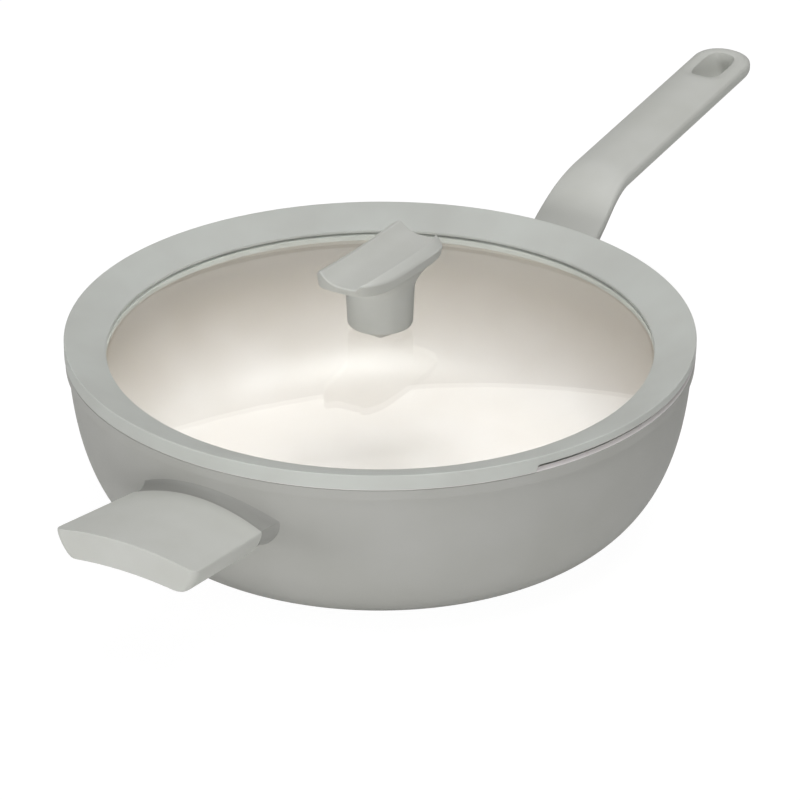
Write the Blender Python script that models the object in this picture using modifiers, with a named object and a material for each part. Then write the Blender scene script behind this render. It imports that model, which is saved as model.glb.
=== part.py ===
"""Wok with a domed glass lid: a cast aluminium pan with a long handle, a helper handle opposite
and a knobbed lid whose silicone rim has a strainer notch.

Metres, +Z up. The origin is on the pan's axis, at the flat base. The long handle points along +X,
the helper handle along -X, and the notch faces -Y.
"""

import math

import bmesh
import bpy
from mathutils import Matrix, Vector

# Clearance kept between pieces that touch
GAP = 0.0003

# Pan: heights are above the base, radii are from the axis
PAN_HEIGHT = 0.0855
BASE_RADIUS = 0.0885
RIM_RADIUS = 0.1468
RIM_BAND_HEIGHT = 0.0062
RIM_OVERHANG = 0.0015
WALL_THICKNESS = 0.0035
FLOOR_THICKNESS = 0.0042
BASE_SWEEP = 0.0475
WALL_SWEEP = 0.031
WALL_LEAN = math.radians(86.0)

# Ceramic lining of the inside
LINING_THICKNESS = 0.0005
LINING_TOP_SETBACK = 0.0006

# Steel plate let into the base
PLATE_MARGIN = 0.0135
PLATE_THICKNESS = 0.0015
BASE_CLEARANCE = 0.0004

# Glass of the lid
GLASS_THICKNESS = 0.004
GLASS_RISE = 0.011
GLASS_HOLE_CLEARANCE = 0.0015

# Silicone rim of the lid
LID_OVERHANG = 0.0002
LID_RIM_HEIGHT = 0.0066
LID_RIM_WIDTH = 0.0195
LID_RIM_DISH = 0.0071
LID_LIP_THICKNESS = 0.0011
LID_PLUG_DEPTH = 0.0095
LID_PLUG_CLEARANCE = 0.0006
LID_GROOVE_WALL = 0.0051
LID_EDGE_ROUND = 0.0008

# Strainer notch: a slot under the flange and a wider way past the plug
NOTCH_HEIGHT = 0.0029
NOTCH_PLUG_HEIGHT = 0.001
NOTCH_HALF_ANGLE = math.radians(28.5)
NOTCH_WALL = 0.0015
NOTCH_SLOT_SETBACK = 0.0009
NOTCH_CENTRE = math.radians(-90.0)

# Knob: its long way runs along X
KNOB_FOOT_RADIUS = 0.0157
KNOB_FOOT_BEVEL = 0.001
KNOB_STEM_HEIGHT = 0.0236
KNOB_FLARE_HEIGHT = 0.0036
KNOB_PLATE_HEIGHT = 0.0085
KNOB_HALF_LENGTH = 0.036
KNOB_END_RAKE = 0.002
KNOB_HALF_WIDTH = 0.0172
KNOB_REAR_CORNER = 6.0
KNOB_FRONT_CORNER = 3.6
TROUGH_DEPTH = 0.0051
TROUGH_BACK = 0.005
TROUGH_SWEEP = 2.4
LIP_WIDTH = 0.0067
LIP_STEP = 0.0006
LIP_DROP = 0.0032
CREST_INSET = 0.0052
SHOULDER_DROP = 0.0036

# Hardware of the knob
GASKET_THICKNESS = 0.0006
GASKET_INSET = 0.0032
LOWER_GASKET_RADIUS = 0.0062
CUP_WASHER_THICKNESS = 0.0008
CUP_WASHER_INSET = 0.0005
KNOB_SCREW_RADIUS = 0.002
KNOB_SCREW_HEAD_RADIUS = 0.0038
KNOB_SCREW_HEAD_HEIGHT = 0.0014
KNOB_SCREW_REACH = 0.0085
INSERT_WALL = 0.0017
INSERT_BLIND = 0.0049

# Long handle: distances run from its root, heights are those of the edges of its crowned top
HANDLE_STANDOFF = 0.0057
HANDLE_LENGTH = 0.191
HANDLE_DROP = 0.02
HANDLE_RISE = math.radians(35.0)
HANDLE_BEND = 0.045
HANDLE_BEND_EASE = 0.012
HANDLE_SLOPE = math.radians(7.8)
HANDLE_ROOT_HALF_WIDTH = 0.0192
HANDLE_HALF_WIDTH = 0.0145
HANDLE_TAPER_START = 0.021
HANDLE_TAPER_END = 0.057
HANDLE_CORNER = 0.011
HANDLE_CROWN = 0.0025
HANDLE_ROOT_SIDE = 0.001
HANDLE_SIDE = 0.0052
HANDLE_ROOT_DEPTH = 0.0185
HANDLE_DEPTH = 0.0125
HANDLE_KEEL = 0.5

# Hanging hole near the end of the long handle
HOLE_LENGTH = 0.028
HOLE_SIDE_WALL = 0.006
HOLE_CORNER = 0.0068
HOLE_END_WALL = 0.008

# Helper handle, measured the same way
HELPER_STANDOFF = 0.0052
HELPER_LENGTH = 0.055
HELPER_DROP = 0.0217
HELPER_SLOPE = math.radians(6.0)
HELPER_ROOT_HALF_WIDTH = 0.0347
HELPER_HALF_WIDTH = 0.0375
HELPER_CORNER = 0.0052
HELPER_ROOT_CROWN = 0.0063
HELPER_CROWN = 0.0032
HELPER_SIDE = 0.0012
HELPER_DEPTH = 0.0118
HELPER_KEEL = 0.84

# Brackets between the pan wall and the grips
BRACKET_INSET = 0.002
BRACKET_FLARE = 0.0022
BRACKET_LIFT = 0.0012
TONGUE_THICKNESS = 0.004
HANDLE_TONGUE_MARGIN = 0.005
HANDLE_TONGUE_LENGTH = 0.036
HANDLE_TONGUE_DEPTH = 0.0068
HELPER_TONGUE_MARGIN = 0.0127
HELPER_TONGUE_LENGTH = 0.034
HELPER_TONGUE_DEPTH = 0.0048

# Studs welded to the pan wall, two to a bracket
STUD_RADIUS = 0.003
STUD_LENGTH = 0.0023
HANDLE_STUD_INSET = 0.0087
HELPER_STUD_INSET = 0.0137
STUD_DROP = 0.0055

# Screws that hold the grips on their tongues
SCREW_RADIUS = 0.002
SCREW_HEAD_RADIUS = 0.0038
SCREW_HEAD_HEIGHT = 0.0024
SCREW_COVER = 0.0038
HANDLE_SCREW_ALONG = 0.024
HELPER_SCREW_ALONG = 0.021
HELPER_SCREW_INSET = 0.0095

# Fineness of the faceted solids
TURN_STEPS = 64
RING_STEPS = 24
SMALL_STEPS = 16
WALL_POINTS = 8
GLASS_POINTS = 6
KNOB_POINTS = 28
CROWN_POINTS = 7
CORNER_POINTS = 5
MERGE = 0.00002

# Heights and radii that follow from the sizes above
WALL_TOP_Z = PAN_HEIGHT - RIM_BAND_HEIGHT
WALL_TOP_RADIUS = RIM_RADIUS - RIM_OVERHANG
PLATE_RADIUS = BASE_RADIUS - PLATE_MARGIN
PLATE_TOP = PLATE_THICKNESS + GAP
FLOOR_TOP = PLATE_TOP + FLOOR_THICKNESS
MOUTH_RADIUS = WALL_TOP_RADIUS - WALL_THICKNESS
LINING_INNER_RADIUS = MOUTH_RADIUS - GAP - LINING_THICKNESS
SEAT_Z = PAN_HEIGHT + GAP
LID_RADIUS = RIM_RADIUS + LID_OVERHANG
LID_INNER_RADIUS = LID_RADIUS - LID_RIM_WIDTH
LID_LIP_Z = SEAT_Z + LID_RIM_HEIGHT - LID_RIM_DISH
PLUG_RADIUS = LINING_INNER_RADIUS - LID_PLUG_CLEARANCE
GROOVE_RADIUS = PLUG_RADIUS - LID_GROOVE_WALL
GLASS_RADIUS = GROOVE_RADIUS - GAP
GLASS_HOLE_RADIUS = KNOB_SCREW_RADIUS + GLASS_HOLE_CLEARANCE
GLASS_TOP_Z = LID_LIP_Z - LID_LIP_THICKNESS - GAP
GLASS_CURVE = (LID_INNER_RADIUS ** 2 + GLASS_RISE ** 2) / (2.0 * GLASS_RISE)
GLASS_CENTRE_Z = GLASS_TOP_Z + GLASS_RISE
KNOB_FOOT_Z = GLASS_CENTRE_Z + GASKET_THICKNESS + 2.0 * GAP
KNOB_PLATE_Z = KNOB_FOOT_Z + KNOB_STEM_HEIGHT + KNOB_FLARE_HEIGHT
KNOB_TOP_Z = KNOB_PLATE_Z + KNOB_PLATE_HEIGHT
INSERT_RADIUS = KNOB_SCREW_RADIUS + GAP + INSERT_WALL
INSERT_LENGTH = KNOB_SCREW_REACH + GAP + INSERT_BLIND
HANDLE_ROOT_X = WALL_TOP_RADIUS + HANDLE_STANDOFF
HANDLE_ROOT_Z = PAN_HEIGHT - HANDLE_DROP
HANDLE_END_X = HANDLE_ROOT_X + HANDLE_LENGTH
HELPER_ROOT_X = WALL_TOP_RADIUS + HELPER_STANDOFF
HELPER_ROOT_Z = PAN_HEIGHT - HELPER_DROP
HELPER_END_X = HELPER_ROOT_X + HELPER_LENGTH

COLOURS = {
    "pan_paint": ((0.36, 0.36, 0.35), 0.5, 0.0),
    "ceramic": ((0.80, 0.76, 0.69), 0.25, 0.0),
    "steel": ((0.62, 0.61, 0.59), 0.32, 1.0),
    "aluminium": ((0.72, 0.72, 0.71), 0.4, 1.0),
    "grip": ((0.50, 0.51, 0.46), 0.55, 0.0),
    "silicone": ((0.47, 0.48, 0.45), 0.6, 0.0),
    "glass": ((0.86, 0.90, 0.88), 0.05, 0.0),
    "brass": ((0.72, 0.53, 0.24), 0.35, 1.0),
}


def clear_scene():
    """Remove every object so that the model stands alone."""
    for thing in list(bpy.data.objects):
        bpy.data.objects.remove(thing, do_unlink=True)


def new_collection(name):
    """Link a fresh collection to the scene."""
    collection = bpy.data.collections.new(name)
    bpy.context.scene.collection.children.link(collection)
    return collection


def material(name):
    """Principled material of one finish, made once and shared by look."""
    colour, roughness, metallic = COLOURS[name]
    made = bpy.data.materials.new(name)
    made.use_nodes = True
    shader = made.node_tree.nodes["Principled BSDF"]
    shader.inputs["Base Color"].default_value = (*colour, 1.0)
    shader.inputs["Roughness"].default_value = roughness
    shader.inputs["Metallic"].default_value = metallic
    return made


def add(name, mesh, look):
    """Put a mesh in the parts collection with its own material."""
    piece = bpy.data.objects.new(name, mesh)
    PARTS.objects.link(piece)
    mesh.materials.append(material(look))
    return piece


def hide_cutter(cutter):
    """Show a cutter as a wire only and leave it out of renders."""
    cutter.hide_render = True
    cutter.display_type = "WIRE"
    return cutter


def add_cutter(name, mesh):
    """Put a mesh among the cutters."""
    cutter = bpy.data.objects.new(name, mesh)
    CUTTERS.objects.link(cutter)
    return hide_cutter(cutter)


def boolean(piece, other, operation="DIFFERENCE"):
    """Cut or join a piece with the exact solver."""
    step = piece.modifiers.new(operation.title(), "BOOLEAN")
    step.operation = operation
    step.solver = "EXACT"
    step.object = other


def turned_mesh(name, profile, closed):
    """Edges of a turned profile, given as radius and height from the inside round to the outside."""
    mesh = bpy.data.meshes.new(name)
    edges = [(i, i + 1) for i in range(len(profile) - 1)]
    if closed:
        edges.append((len(profile) - 1, 0))
    mesh.from_pydata([(radius, 0.0, height) for radius, height in profile], edges, [])
    return mesh


def turn(thing, steps):
    """Sweep the profile of an object once round Z."""
    screw = thing.modifiers.new("Turn", "SCREW")
    screw.axis = "Z"
    screw.angle = 2.0 * math.pi
    screw.steps = steps
    screw.render_steps = steps
    screw.use_merge_vertices = True
    screw.merge_threshold = MERGE
    return thing


def turned(name, profile, look, closed=False, steps=TURN_STEPS):
    """A turned piece."""
    return turn(add(name, turned_mesh(name, profile, closed), look), steps)


def turned_cutter(name, profile, closed=False, steps=TURN_STEPS):
    """A turned cutter."""
    return turn(add_cutter(name, turned_mesh(name, profile, closed)), steps)


def loft_mesh(name, rings):
    """Closed skin through rings of equal length, capped at both ends."""
    build = bmesh.new()
    rows = [[build.verts.new(point) for point in ring] for ring in rings]
    count = len(rows[0])
    for near, far in zip(rows[:-1], rows[1:]):
        for i in range(count):
            j = (i + 1) % count
            build.faces.new((near[i], near[j], far[j], far[i]))
    build.faces.new(rows[0])
    build.faces.new(rows[-1])
    bmesh.ops.recalc_face_normals(build, faces=build.faces)
    mesh = bpy.data.meshes.new(name)
    build.to_mesh(mesh)
    build.free()
    return mesh


def prism_mesh(name, outline, depth):
    """Mesh of a flat outline in its own XY plane, as thick as depth and centred on that plane."""
    curve = bpy.data.curves.new(name, "CURVE")
    curve.dimensions = "2D"
    curve.fill_mode = "BOTH"
    curve.extrude = depth / 2.0
    spline = curve.splines.new("POLY")
    spline.points.add(len(outline) - 1)
    for point, (across, along) in zip(spline.points, outline):
        point.co = (across, along, 0.0, 1.0)
    spline.use_cyclic_u = True
    drawn = bpy.data.objects.new(name, curve)
    CUTTERS.objects.link(drawn)
    bpy.context.view_layer.update()
    shape = drawn.evaluated_get(bpy.context.evaluated_depsgraph_get())
    mesh = bpy.data.meshes.new_from_object(shape)
    bpy.data.objects.remove(drawn, do_unlink=True)
    build = bmesh.new()
    build.from_mesh(mesh)
    bmesh.ops.remove_doubles(build, verts=build.verts, dist=MERGE)
    bmesh.ops.recalc_face_normals(build, faces=build.faces)
    build.to_mesh(mesh)
    build.free()
    mesh.materials.clear()
    return mesh


def box_mesh(name, size):
    """Mesh of a box centred on its origin."""
    build = bmesh.new()
    bmesh.ops.create_cube(build, size=1.0, matrix=Matrix.Diagonal((*size, 1.0)))
    mesh = bpy.data.meshes.new(name)
    build.to_mesh(mesh)
    build.free()
    return mesh


def rod_mesh(name, radius, length, steps=SMALL_STEPS):
    """Mesh of a cylinder that stands on its origin and runs up its own Z."""
    build = bmesh.new()
    lift = Matrix.Translation((0.0, 0.0, length / 2.0))
    bmesh.ops.create_cone(build, cap_ends=True, segments=steps, radius1=radius, radius2=radius,
                          depth=length, matrix=lift)
    mesh = bpy.data.meshes.new(name)
    build.to_mesh(mesh)
    build.free()
    return mesh


def wall_point(t, offset):
    """Point of the pan's outer wall at t from base to rim, moved out along its normal by offset."""
    start = Vector((BASE_RADIUS, BASE_CLEARANCE))
    end = Vector((WALL_TOP_RADIUS, WALL_TOP_Z))
    low = start + Vector((BASE_SWEEP, 0.0))
    high = end - WALL_SWEEP * Vector((math.cos(WALL_LEAN), math.sin(WALL_LEAN)))
    s = 1.0 - t
    point = s ** 3 * start + 3 * s * s * t * low + 3 * s * t * t * high + t ** 3 * end
    along = 3 * s * s * (low - start) + 6 * s * t * (high - low) + 3 * t * t * (end - high)
    along.normalize()
    return point + offset * Vector((along.y, -along.x))


def wall_points(offset_at):
    """Wall points from base to rim, with an offset that may change on the way."""
    steps = [i / (WALL_POINTS - 1) for i in range(WALL_POINTS)]
    return [tuple(wall_point(t, offset_at(t))) for t in steps]


def inside_offset(extra):
    """Offset of the pan's inside, which thickens from the wall to the floor, plus a lining."""
    floor = FLOOR_TOP - BASE_CLEARANCE
    return lambda t: -(floor + (WALL_THICKNESS - floor) * t) - extra


def inside_profile(extra, top):
    """Radius and height from the floor's centre to the mouth, set in from the pan by extra."""
    wall = wall_points(inside_offset(extra))
    floor = (0.0, wall[0][1])
    return [floor] + wall + [(wall[-1][0], top)]


def make_pan():
    """Cast pan: floor, curved wall, thick rim band and the recess for the base plate."""
    rim_round = LID_EDGE_ROUND / 2.0
    outside = [
        (RIM_RADIUS - rim_round, PAN_HEIGHT),
        (RIM_RADIUS, PAN_HEIGHT - rim_round),
        (RIM_RADIUS - GAP, WALL_TOP_Z + RIM_OVERHANG / 2.0),
        (WALL_TOP_RADIUS, WALL_TOP_Z),
    ]
    wall = wall_points(lambda t: 0.0)[:-1]
    recess = PLATE_RADIUS + GAP
    base = [(recess, BASE_CLEARANCE), (recess, PLATE_TOP), (0.0, PLATE_TOP)]
    profile = inside_profile(0.0, PAN_HEIGHT) + outside + wall[::-1] + base
    return turned("pan_body", profile, "pan_paint")


def make_lining():
    """Ceramic skin that lies on the pan's inside."""
    top = PAN_HEIGHT - LINING_TOP_SETBACK
    inner = inside_profile(GAP + LINING_THICKNESS, top)
    outer = inside_profile(GAP, top)
    return turned("ceramic_lining", inner + outer[::-1], "ceramic")


def make_base_plate():
    """Steel disc for induction hobs, flush with the bottom of the wok."""
    bevel = PLATE_THICKNESS / 4.0
    profile = [
        (0.0, PLATE_THICKNESS),
        (PLATE_RADIUS, PLATE_THICKNESS),
        (PLATE_RADIUS, bevel),
        (PLATE_RADIUS - bevel, 0.0),
        (0.0, 0.0),
    ]
    return turned("induction_plate", profile, "steel")


def glass_height(radius, below=0.0):
    """Height of the dome at a radius, on its top or below it by a distance."""
    fall = GLASS_CURVE - math.sqrt(GLASS_CURVE ** 2 - radius ** 2)
    return GLASS_CENTRE_Z - fall - below


def make_glass():
    """Domed glass with the hole for the knob's screw."""
    span = GLASS_RADIUS - GLASS_HOLE_RADIUS
    radii = [GLASS_HOLE_RADIUS + span * i / (GLASS_POINTS - 1) for i in range(GLASS_POINTS)]
    top = [(radius, glass_height(radius)) for radius in radii]
    bottom = [(radius, glass_height(radius, GLASS_THICKNESS)) for radius in radii]
    return turned("lid_glass", top + bottom[::-1], "glass", closed=True)


def make_lid_rim():
    """Silicone rim: dished top, grooved for the glass, with a plug that sits in the pan's mouth."""
    groove = GROOVE_RADIUS
    top = SEAT_Z + LID_RIM_HEIGHT
    slope = LID_RIM_DISH / LID_RIM_WIDTH
    under = GLASS_THICKNESS + GAP
    inner = LID_INNER_RADIUS
    plug_z = SEAT_Z - LID_PLUG_DEPTH
    profile = [
        (inner, glass_height(inner) + GAP),
        (inner, LID_LIP_Z - LID_LIP_THICKNESS / 3.0),
        (inner + LID_LIP_THICKNESS / 3.0, LID_LIP_Z),
        (LID_RADIUS - 2.0 * LID_EDGE_ROUND, top - 2.0 * LID_EDGE_ROUND * slope),
        (LID_RADIUS - LID_EDGE_ROUND, top),
        (LID_RADIUS, top - LID_EDGE_ROUND),
        (LID_RADIUS, SEAT_Z),
        (PLUG_RADIUS, SEAT_Z),
        (PLUG_RADIUS, plug_z + LID_EDGE_ROUND),
        (PLUG_RADIUS - LID_EDGE_ROUND, plug_z),
        (groove, plug_z),
        (inner, glass_height(inner, under) - LID_LIP_THICKNESS),
        (inner, glass_height(inner, under)),
        (groove, glass_height(groove, under)),
        (groove, glass_height(groove) + GAP),
    ]
    rim = turned("lid_rim", profile, "silicone", closed=True)
    slot = PLUG_RADIUS - NOTCH_SLOT_SETBACK
    beyond = LID_RADIUS + NOTCH_HEIGHT
    way = groove + NOTCH_WALL
    boolean(rim, notch_cutter("cut_notch_slot", slot, beyond, SEAT_Z + NOTCH_HEIGHT))
    boolean(rim, notch_cutter("cut_notch_plug", way, beyond, SEAT_Z + NOTCH_PLUG_HEIGHT))
    return rim


def notch_cutter(name, inner, outer, top):
    """Curved block between two radii, from below the plug up to a height."""
    half = NOTCH_HALF_ANGLE
    steps = 2 * CORNER_POINTS
    angles = [NOTCH_CENTRE - half + 2.0 * half * i / steps for i in range(steps + 1)]
    outline = [(outer * math.cos(a), outer * math.sin(a)) for a in angles]
    outline += [(inner * math.cos(a), inner * math.sin(a)) for a in reversed(angles)]
    depth = 2.0 * LID_PLUG_DEPTH
    cutter = add_cutter(name, prism_mesh(name, outline, depth))
    cutter.location.z = top - depth / 2.0
    return cutter


def knob_ring(half_length, half_width, square, height):
    """Level ring of the knob: round where square is 0, with the plate's own corners where it is 1."""
    ring = []
    for i in range(KNOB_POINTS):
        angle = 2.0 * math.pi * (i + 0.5) / KNOB_POINTS
        c, s = math.cos(angle), math.sin(angle)
        corner = 2.0 + ((KNOB_REAR_CORNER if s > 0.0 else KNOB_FRONT_CORNER) - 2.0) * square
        x = half_length * math.copysign(abs(c) ** (2.0 / corner), c)
        y = half_width * math.copysign(abs(s) ** (2.0 / corner), s)
        ring.append((x, y, height))
    return ring


def make_knob():
    """Knob: round stem that flares into a long plate with a trough for a spoon."""
    foot = KNOB_FOOT_RADIUS
    flare_z = KNOB_FOOT_Z + KNOB_STEM_HEIGHT
    under = KNOB_HALF_LENGTH - KNOB_END_RAKE
    rings = [
        knob_ring(foot - KNOB_FOOT_BEVEL, foot - KNOB_FOOT_BEVEL, 0.0, KNOB_FOOT_Z),
        knob_ring(foot, foot, 0.0, KNOB_FOOT_Z + KNOB_FOOT_BEVEL),
        knob_ring(foot, foot, 0.0, flare_z),
    ]
    for share in (0.45, 0.8, 1.0):
        bulge = 1.0 - math.sqrt(1.0 - share ** 2)
        length = foot + (under - foot) * bulge
        width = foot + (KNOB_HALF_WIDTH - foot) * share
        rings.append(knob_ring(length, width, bulge, flare_z + KNOB_FLARE_HEIGHT * share))
    rings.append(knob_ring(KNOB_HALF_LENGTH, KNOB_HALF_WIDTH, 1.0, KNOB_TOP_Z + LIP_STEP))
    knob = add("knob_grip", loft_mesh("knob_grip", rings), "grip")
    boolean(knob, top_cutter())
    boolean(knob, insert_bore())
    return knob


def top_cutter():
    """Long prism whose underside is the knob's top: sloped lip, trough wall and floor, crest, shoulder."""
    floor = KNOB_TOP_Z - TROUGH_DEPTH
    lip = KNOB_TOP_Z - LIP_STEP
    above = KNOB_TOP_Z + TROUGH_DEPTH
    beyond = KNOB_HALF_WIDTH + LIP_STEP
    wall_y = LIP_WIDTH - KNOB_HALF_WIDTH
    floor_y = wall_y + TROUGH_BACK
    crest_y = KNOB_HALF_WIDTH - CREST_INSET
    outline = [(-beyond, above), (-beyond, lip - LIP_DROP)]
    outline.append((wall_y - LIP_STEP, lip))
    outline.append((wall_y, lip - LIP_STEP / 2.0))
    outline.append((wall_y, floor + TROUGH_DEPTH / 3.0))
    outline.append(((wall_y + floor_y) / 2.0, floor))
    outline.append((floor_y, floor))
    for i in range(1, CORNER_POINTS + 1):
        share = i / CORNER_POINTS
        across = floor_y + (crest_y - floor_y) * share
        outline.append((across, floor + TROUGH_DEPTH * share ** TROUGH_SWEEP))
    outline.append(((crest_y + KNOB_HALF_WIDTH) / 2.0, KNOB_TOP_Z - SHOULDER_DROP / 3.0))
    outline.append((beyond, KNOB_TOP_Z - SHOULDER_DROP))
    outline.append((beyond, above))
    cutter = add_cutter("cut_knob_top", prism_mesh("cut_knob_top", outline, 3.0 * KNOB_HALF_LENGTH))
    cutter.rotation_euler = (math.radians(90.0), 0.0, math.radians(90.0))
    return cutter


def insert_bore():
    """Bore of the knob for its threaded insert and the screw."""
    radius = INSERT_RADIUS + GAP
    length = INSERT_LENGTH + GAP + KNOB_FOOT_BEVEL
    cutter = add_cutter("cut_insert", rod_mesh("cut_insert", radius, length))
    cutter.location.z = KNOB_FOOT_Z - KNOB_FOOT_BEVEL
    return cutter


def make_insert():
    """Brass insert with a blind thread, moulded into the knob's foot."""
    bore = KNOB_SCREW_RADIUS + GAP
    low = KNOB_FOOT_Z
    high = low + INSERT_LENGTH
    blind = high - INSERT_BLIND
    profile = [
        (0.0, blind),
        (bore, blind),
        (bore, low),
        (INSERT_RADIUS, low),
        (INSERT_RADIUS, high),
        (0.0, high),
    ]
    return turned("knob_insert", profile[::-1], "brass", steps=SMALL_STEPS)


def ring_piece(name, inner, outer, low, high, look):
    """Flat turned ring, such as a gasket or a washer."""
    profile = [(inner, low), (inner, high), (outer, high), (outer, low)]
    return turned(name, profile, look, closed=True, steps=RING_STEPS)


def make_knob_hardware():
    """Insert, gaskets, cup washer and screw that clamp the knob to the glass."""
    bore = KNOB_SCREW_RADIUS + GAP
    make_insert()
    seat = GLASS_CENTRE_Z + GAP
    broad = KNOB_FOOT_RADIUS - GASKET_INSET
    ring_piece("knob_upper_gasket", bore, broad, seat, seat + GASKET_THICKNESS, "silicone")
    under = glass_height(LOWER_GASKET_RADIUS, GLASS_THICKNESS) - GAP
    ring_piece("knob_lower_gasket", bore, LOWER_GASKET_RADIUS, under - GASKET_THICKNESS, under, "silicone")
    cup = under - GASKET_THICKNESS - GAP
    washer = LOWER_GASKET_RADIUS - CUP_WASHER_INSET
    ring_piece("knob_cup_washer", bore, washer, cup - CUP_WASHER_THICKNESS, cup, "steel")
    head_top = cup - CUP_WASHER_THICKNESS - GAP
    tip = KNOB_FOOT_Z + KNOB_SCREW_REACH
    dome = KNOB_SCREW_HEAD_HEIGHT / 2.0
    profile = [
        (0.0, tip),
        (KNOB_SCREW_RADIUS, tip),
        (KNOB_SCREW_RADIUS, head_top),
        (KNOB_SCREW_HEAD_RADIUS, head_top),
        (KNOB_SCREW_HEAD_RADIUS, head_top - dome),
        (KNOB_SCREW_HEAD_RADIUS * 0.75, head_top - KNOB_SCREW_HEAD_HEIGHT),
        (0.0, head_top - KNOB_SCREW_HEAD_HEIGHT),
    ]
    turned("knob_screw", profile, "steel", steps=SMALL_STEPS)


def eased(share):
    """Smooth step from 0 to 1."""
    share = min(max(share, 0.0), 1.0)
    return share * share * (3.0 - 2.0 * share)


def handle_edge_height(x):
    """Height of the long handle's top edges at x: a steep rise, an eased bend and a gentle slope."""
    steep = math.tan(HANDLE_RISE)
    gentle = math.tan(HANDLE_SLOPE)
    bend_z = HANDLE_ROOT_Z + HANDLE_BEND * steep
    ahead = x - HANDLE_ROOT_X - HANDLE_BEND
    ease = HANDLE_BEND_EASE
    if ahead <= -ease:
        return bend_z + ahead * steep
    if ahead >= ease:
        return bend_z + ahead * gentle
    start = bend_z - ease * steep
    into = ahead + ease
    return start + into * steep + (gentle - steep) * into * into / (4.0 * ease)


def corner_loss(x, end, radius):
    """How much a rounded plan corner takes off the half width near the end."""
    into = x - (end - radius)
    if into <= 0.0:
        return 0.0
    return radius - math.sqrt(max(radius ** 2 - into ** 2, 0.0))


def handle_half_width(x):
    """Half width of the long handle: broad root, taper to the grip, rounded end."""
    along = x - HANDLE_ROOT_X - HANDLE_TAPER_START
    share = eased(along / (HANDLE_TAPER_END - HANDLE_TAPER_START))
    straight = HANDLE_ROOT_HALF_WIDTH + (HANDLE_HALF_WIDTH - HANDLE_ROOT_HALF_WIDTH) * share
    return straight - corner_loss(x, HANDLE_END_X, HANDLE_CORNER)


def handle_depth(x):
    """Depth of the long handle's keel under its edges."""
    share = eased((x - HANDLE_ROOT_X) / HANDLE_TAPER_END)
    return HANDLE_ROOT_DEPTH + (HANDLE_DEPTH - HANDLE_ROOT_DEPTH) * share


def handle_crown(x):
    """Rise of the long handle's middle over its edges, which shrinks as the end rounds off."""
    loss = corner_loss(x, HANDLE_END_X, HANDLE_CORNER)
    return HANDLE_CROWN * ((HANDLE_HALF_WIDTH - loss) / HANDLE_HALF_WIDTH) ** 2


def handle_side(x):
    """Height of the long handle's upright sides, which grow from the root to the grip."""
    share = eased((x - HANDLE_ROOT_X) / HANDLE_TAPER_END)
    return HANDLE_ROOT_SIDE + (HANDLE_SIDE - HANDLE_ROOT_SIDE) * share


def helper_edge_height(x):
    """Height of the helper handle's top edges at a distance x from the axis."""
    return HELPER_ROOT_Z + (x - HELPER_ROOT_X) * math.tan(HELPER_SLOPE)


def helper_half_width(x):
    """Half width of the helper handle, which widens outwards and has rounded front corners."""
    share = (x - HELPER_ROOT_X) / HELPER_LENGTH
    straight = HELPER_ROOT_HALF_WIDTH + (HELPER_HALF_WIDTH - HELPER_ROOT_HALF_WIDTH) * share
    return straight - corner_loss(x, HELPER_END_X, HELPER_CORNER)


def helper_crown(x):
    """Rise of the helper handle's middle over its edges: high at the root, lower in front."""
    share = (x - HELPER_ROOT_X) / HELPER_LENGTH
    return HELPER_ROOT_CROWN + (HELPER_CROWN - HELPER_ROOT_CROWN) * share


def grip_ring(x, half, edge_z, crown, side, depth, keel):
    """Upright ring of a grip at x: crowned top, short sides and a hull below."""
    ring = []
    for i in range(CROWN_POINTS):
        y = half * (1.0 - 2.0 * i / (CROWN_POINTS - 1))
        ring.append((x, y, edge_z + crown * (1.0 - (y / half) ** 2)))
    low = half * keel
    turn_in = half - (half - low) * 0.35
    turn_z = edge_z - side - (depth - side) * 0.6
    ring.append((x, -half, edge_z - side))
    ring.append((x, -turn_in, turn_z))
    ring.append((x, -low, edge_z - depth))
    ring.append((x, low, edge_z - depth))
    ring.append((x, turn_in, turn_z))
    ring.append((x, half, edge_z - side))
    return ring


def end_stations(end, radius):
    """Distances of the rings round a corner, closer together towards the end."""
    turns = [math.pi / 2.0 * i / CORNER_POINTS for i in range(1, CORNER_POINTS + 1)]
    return [end - radius + radius * math.sin(turn) for turn in turns]


def tongue_frame(root_x, root_z, angle, depth):
    """Matrix whose X runs along a tongue from the grip's rear face, its Z square to the tongue."""
    place = Matrix.Translation((root_x, 0.0, root_z - depth / math.cos(angle)))
    return place @ Matrix.Rotation(-angle, 4, "Y")


def tongue_box(name, frame, half_width, length, extra, back):
    """Box of a tongue, or of its pocket with extra on every side, reaching back behind the face."""
    size = (length + back + extra, 2.0 * (half_width + extra), TONGUE_THICKNESS + 2.0 * extra)
    cutter = add_cutter(name, box_mesh(name, size))
    cutter.matrix_world = frame @ Matrix.Translation(((length + extra - back) / 2.0, 0.0, 0.0))
    return cutter


def screw_frame(frame, along, y):
    """Matrix of a screw whose own Z runs up from the head's outer face into the tongue."""
    drop = TONGUE_THICKNESS / 2.0 + GAP + SCREW_COVER
    return frame @ Matrix.Translation((along, y, -drop))


def make_screw(name, frame, side):
    """Screw that holds a grip on its tongue, ended flush with the tongue's top."""
    length = SCREW_COVER + GAP + TONGUE_THICKNESS
    bevel = SCREW_HEAD_HEIGHT / 4.0
    profile = [
        (0.0, length),
        (SCREW_RADIUS, length),
        (SCREW_RADIUS, SCREW_HEAD_HEIGHT),
        (SCREW_HEAD_RADIUS, SCREW_HEAD_HEIGHT),
        (SCREW_HEAD_RADIUS, bevel),
        (SCREW_HEAD_RADIUS - bevel, 0.0),
        (0.0, 0.0),
    ]
    screw = turned(name, profile, "steel", steps=SMALL_STEPS)
    screw.matrix_world = side @ frame
    return screw


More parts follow.
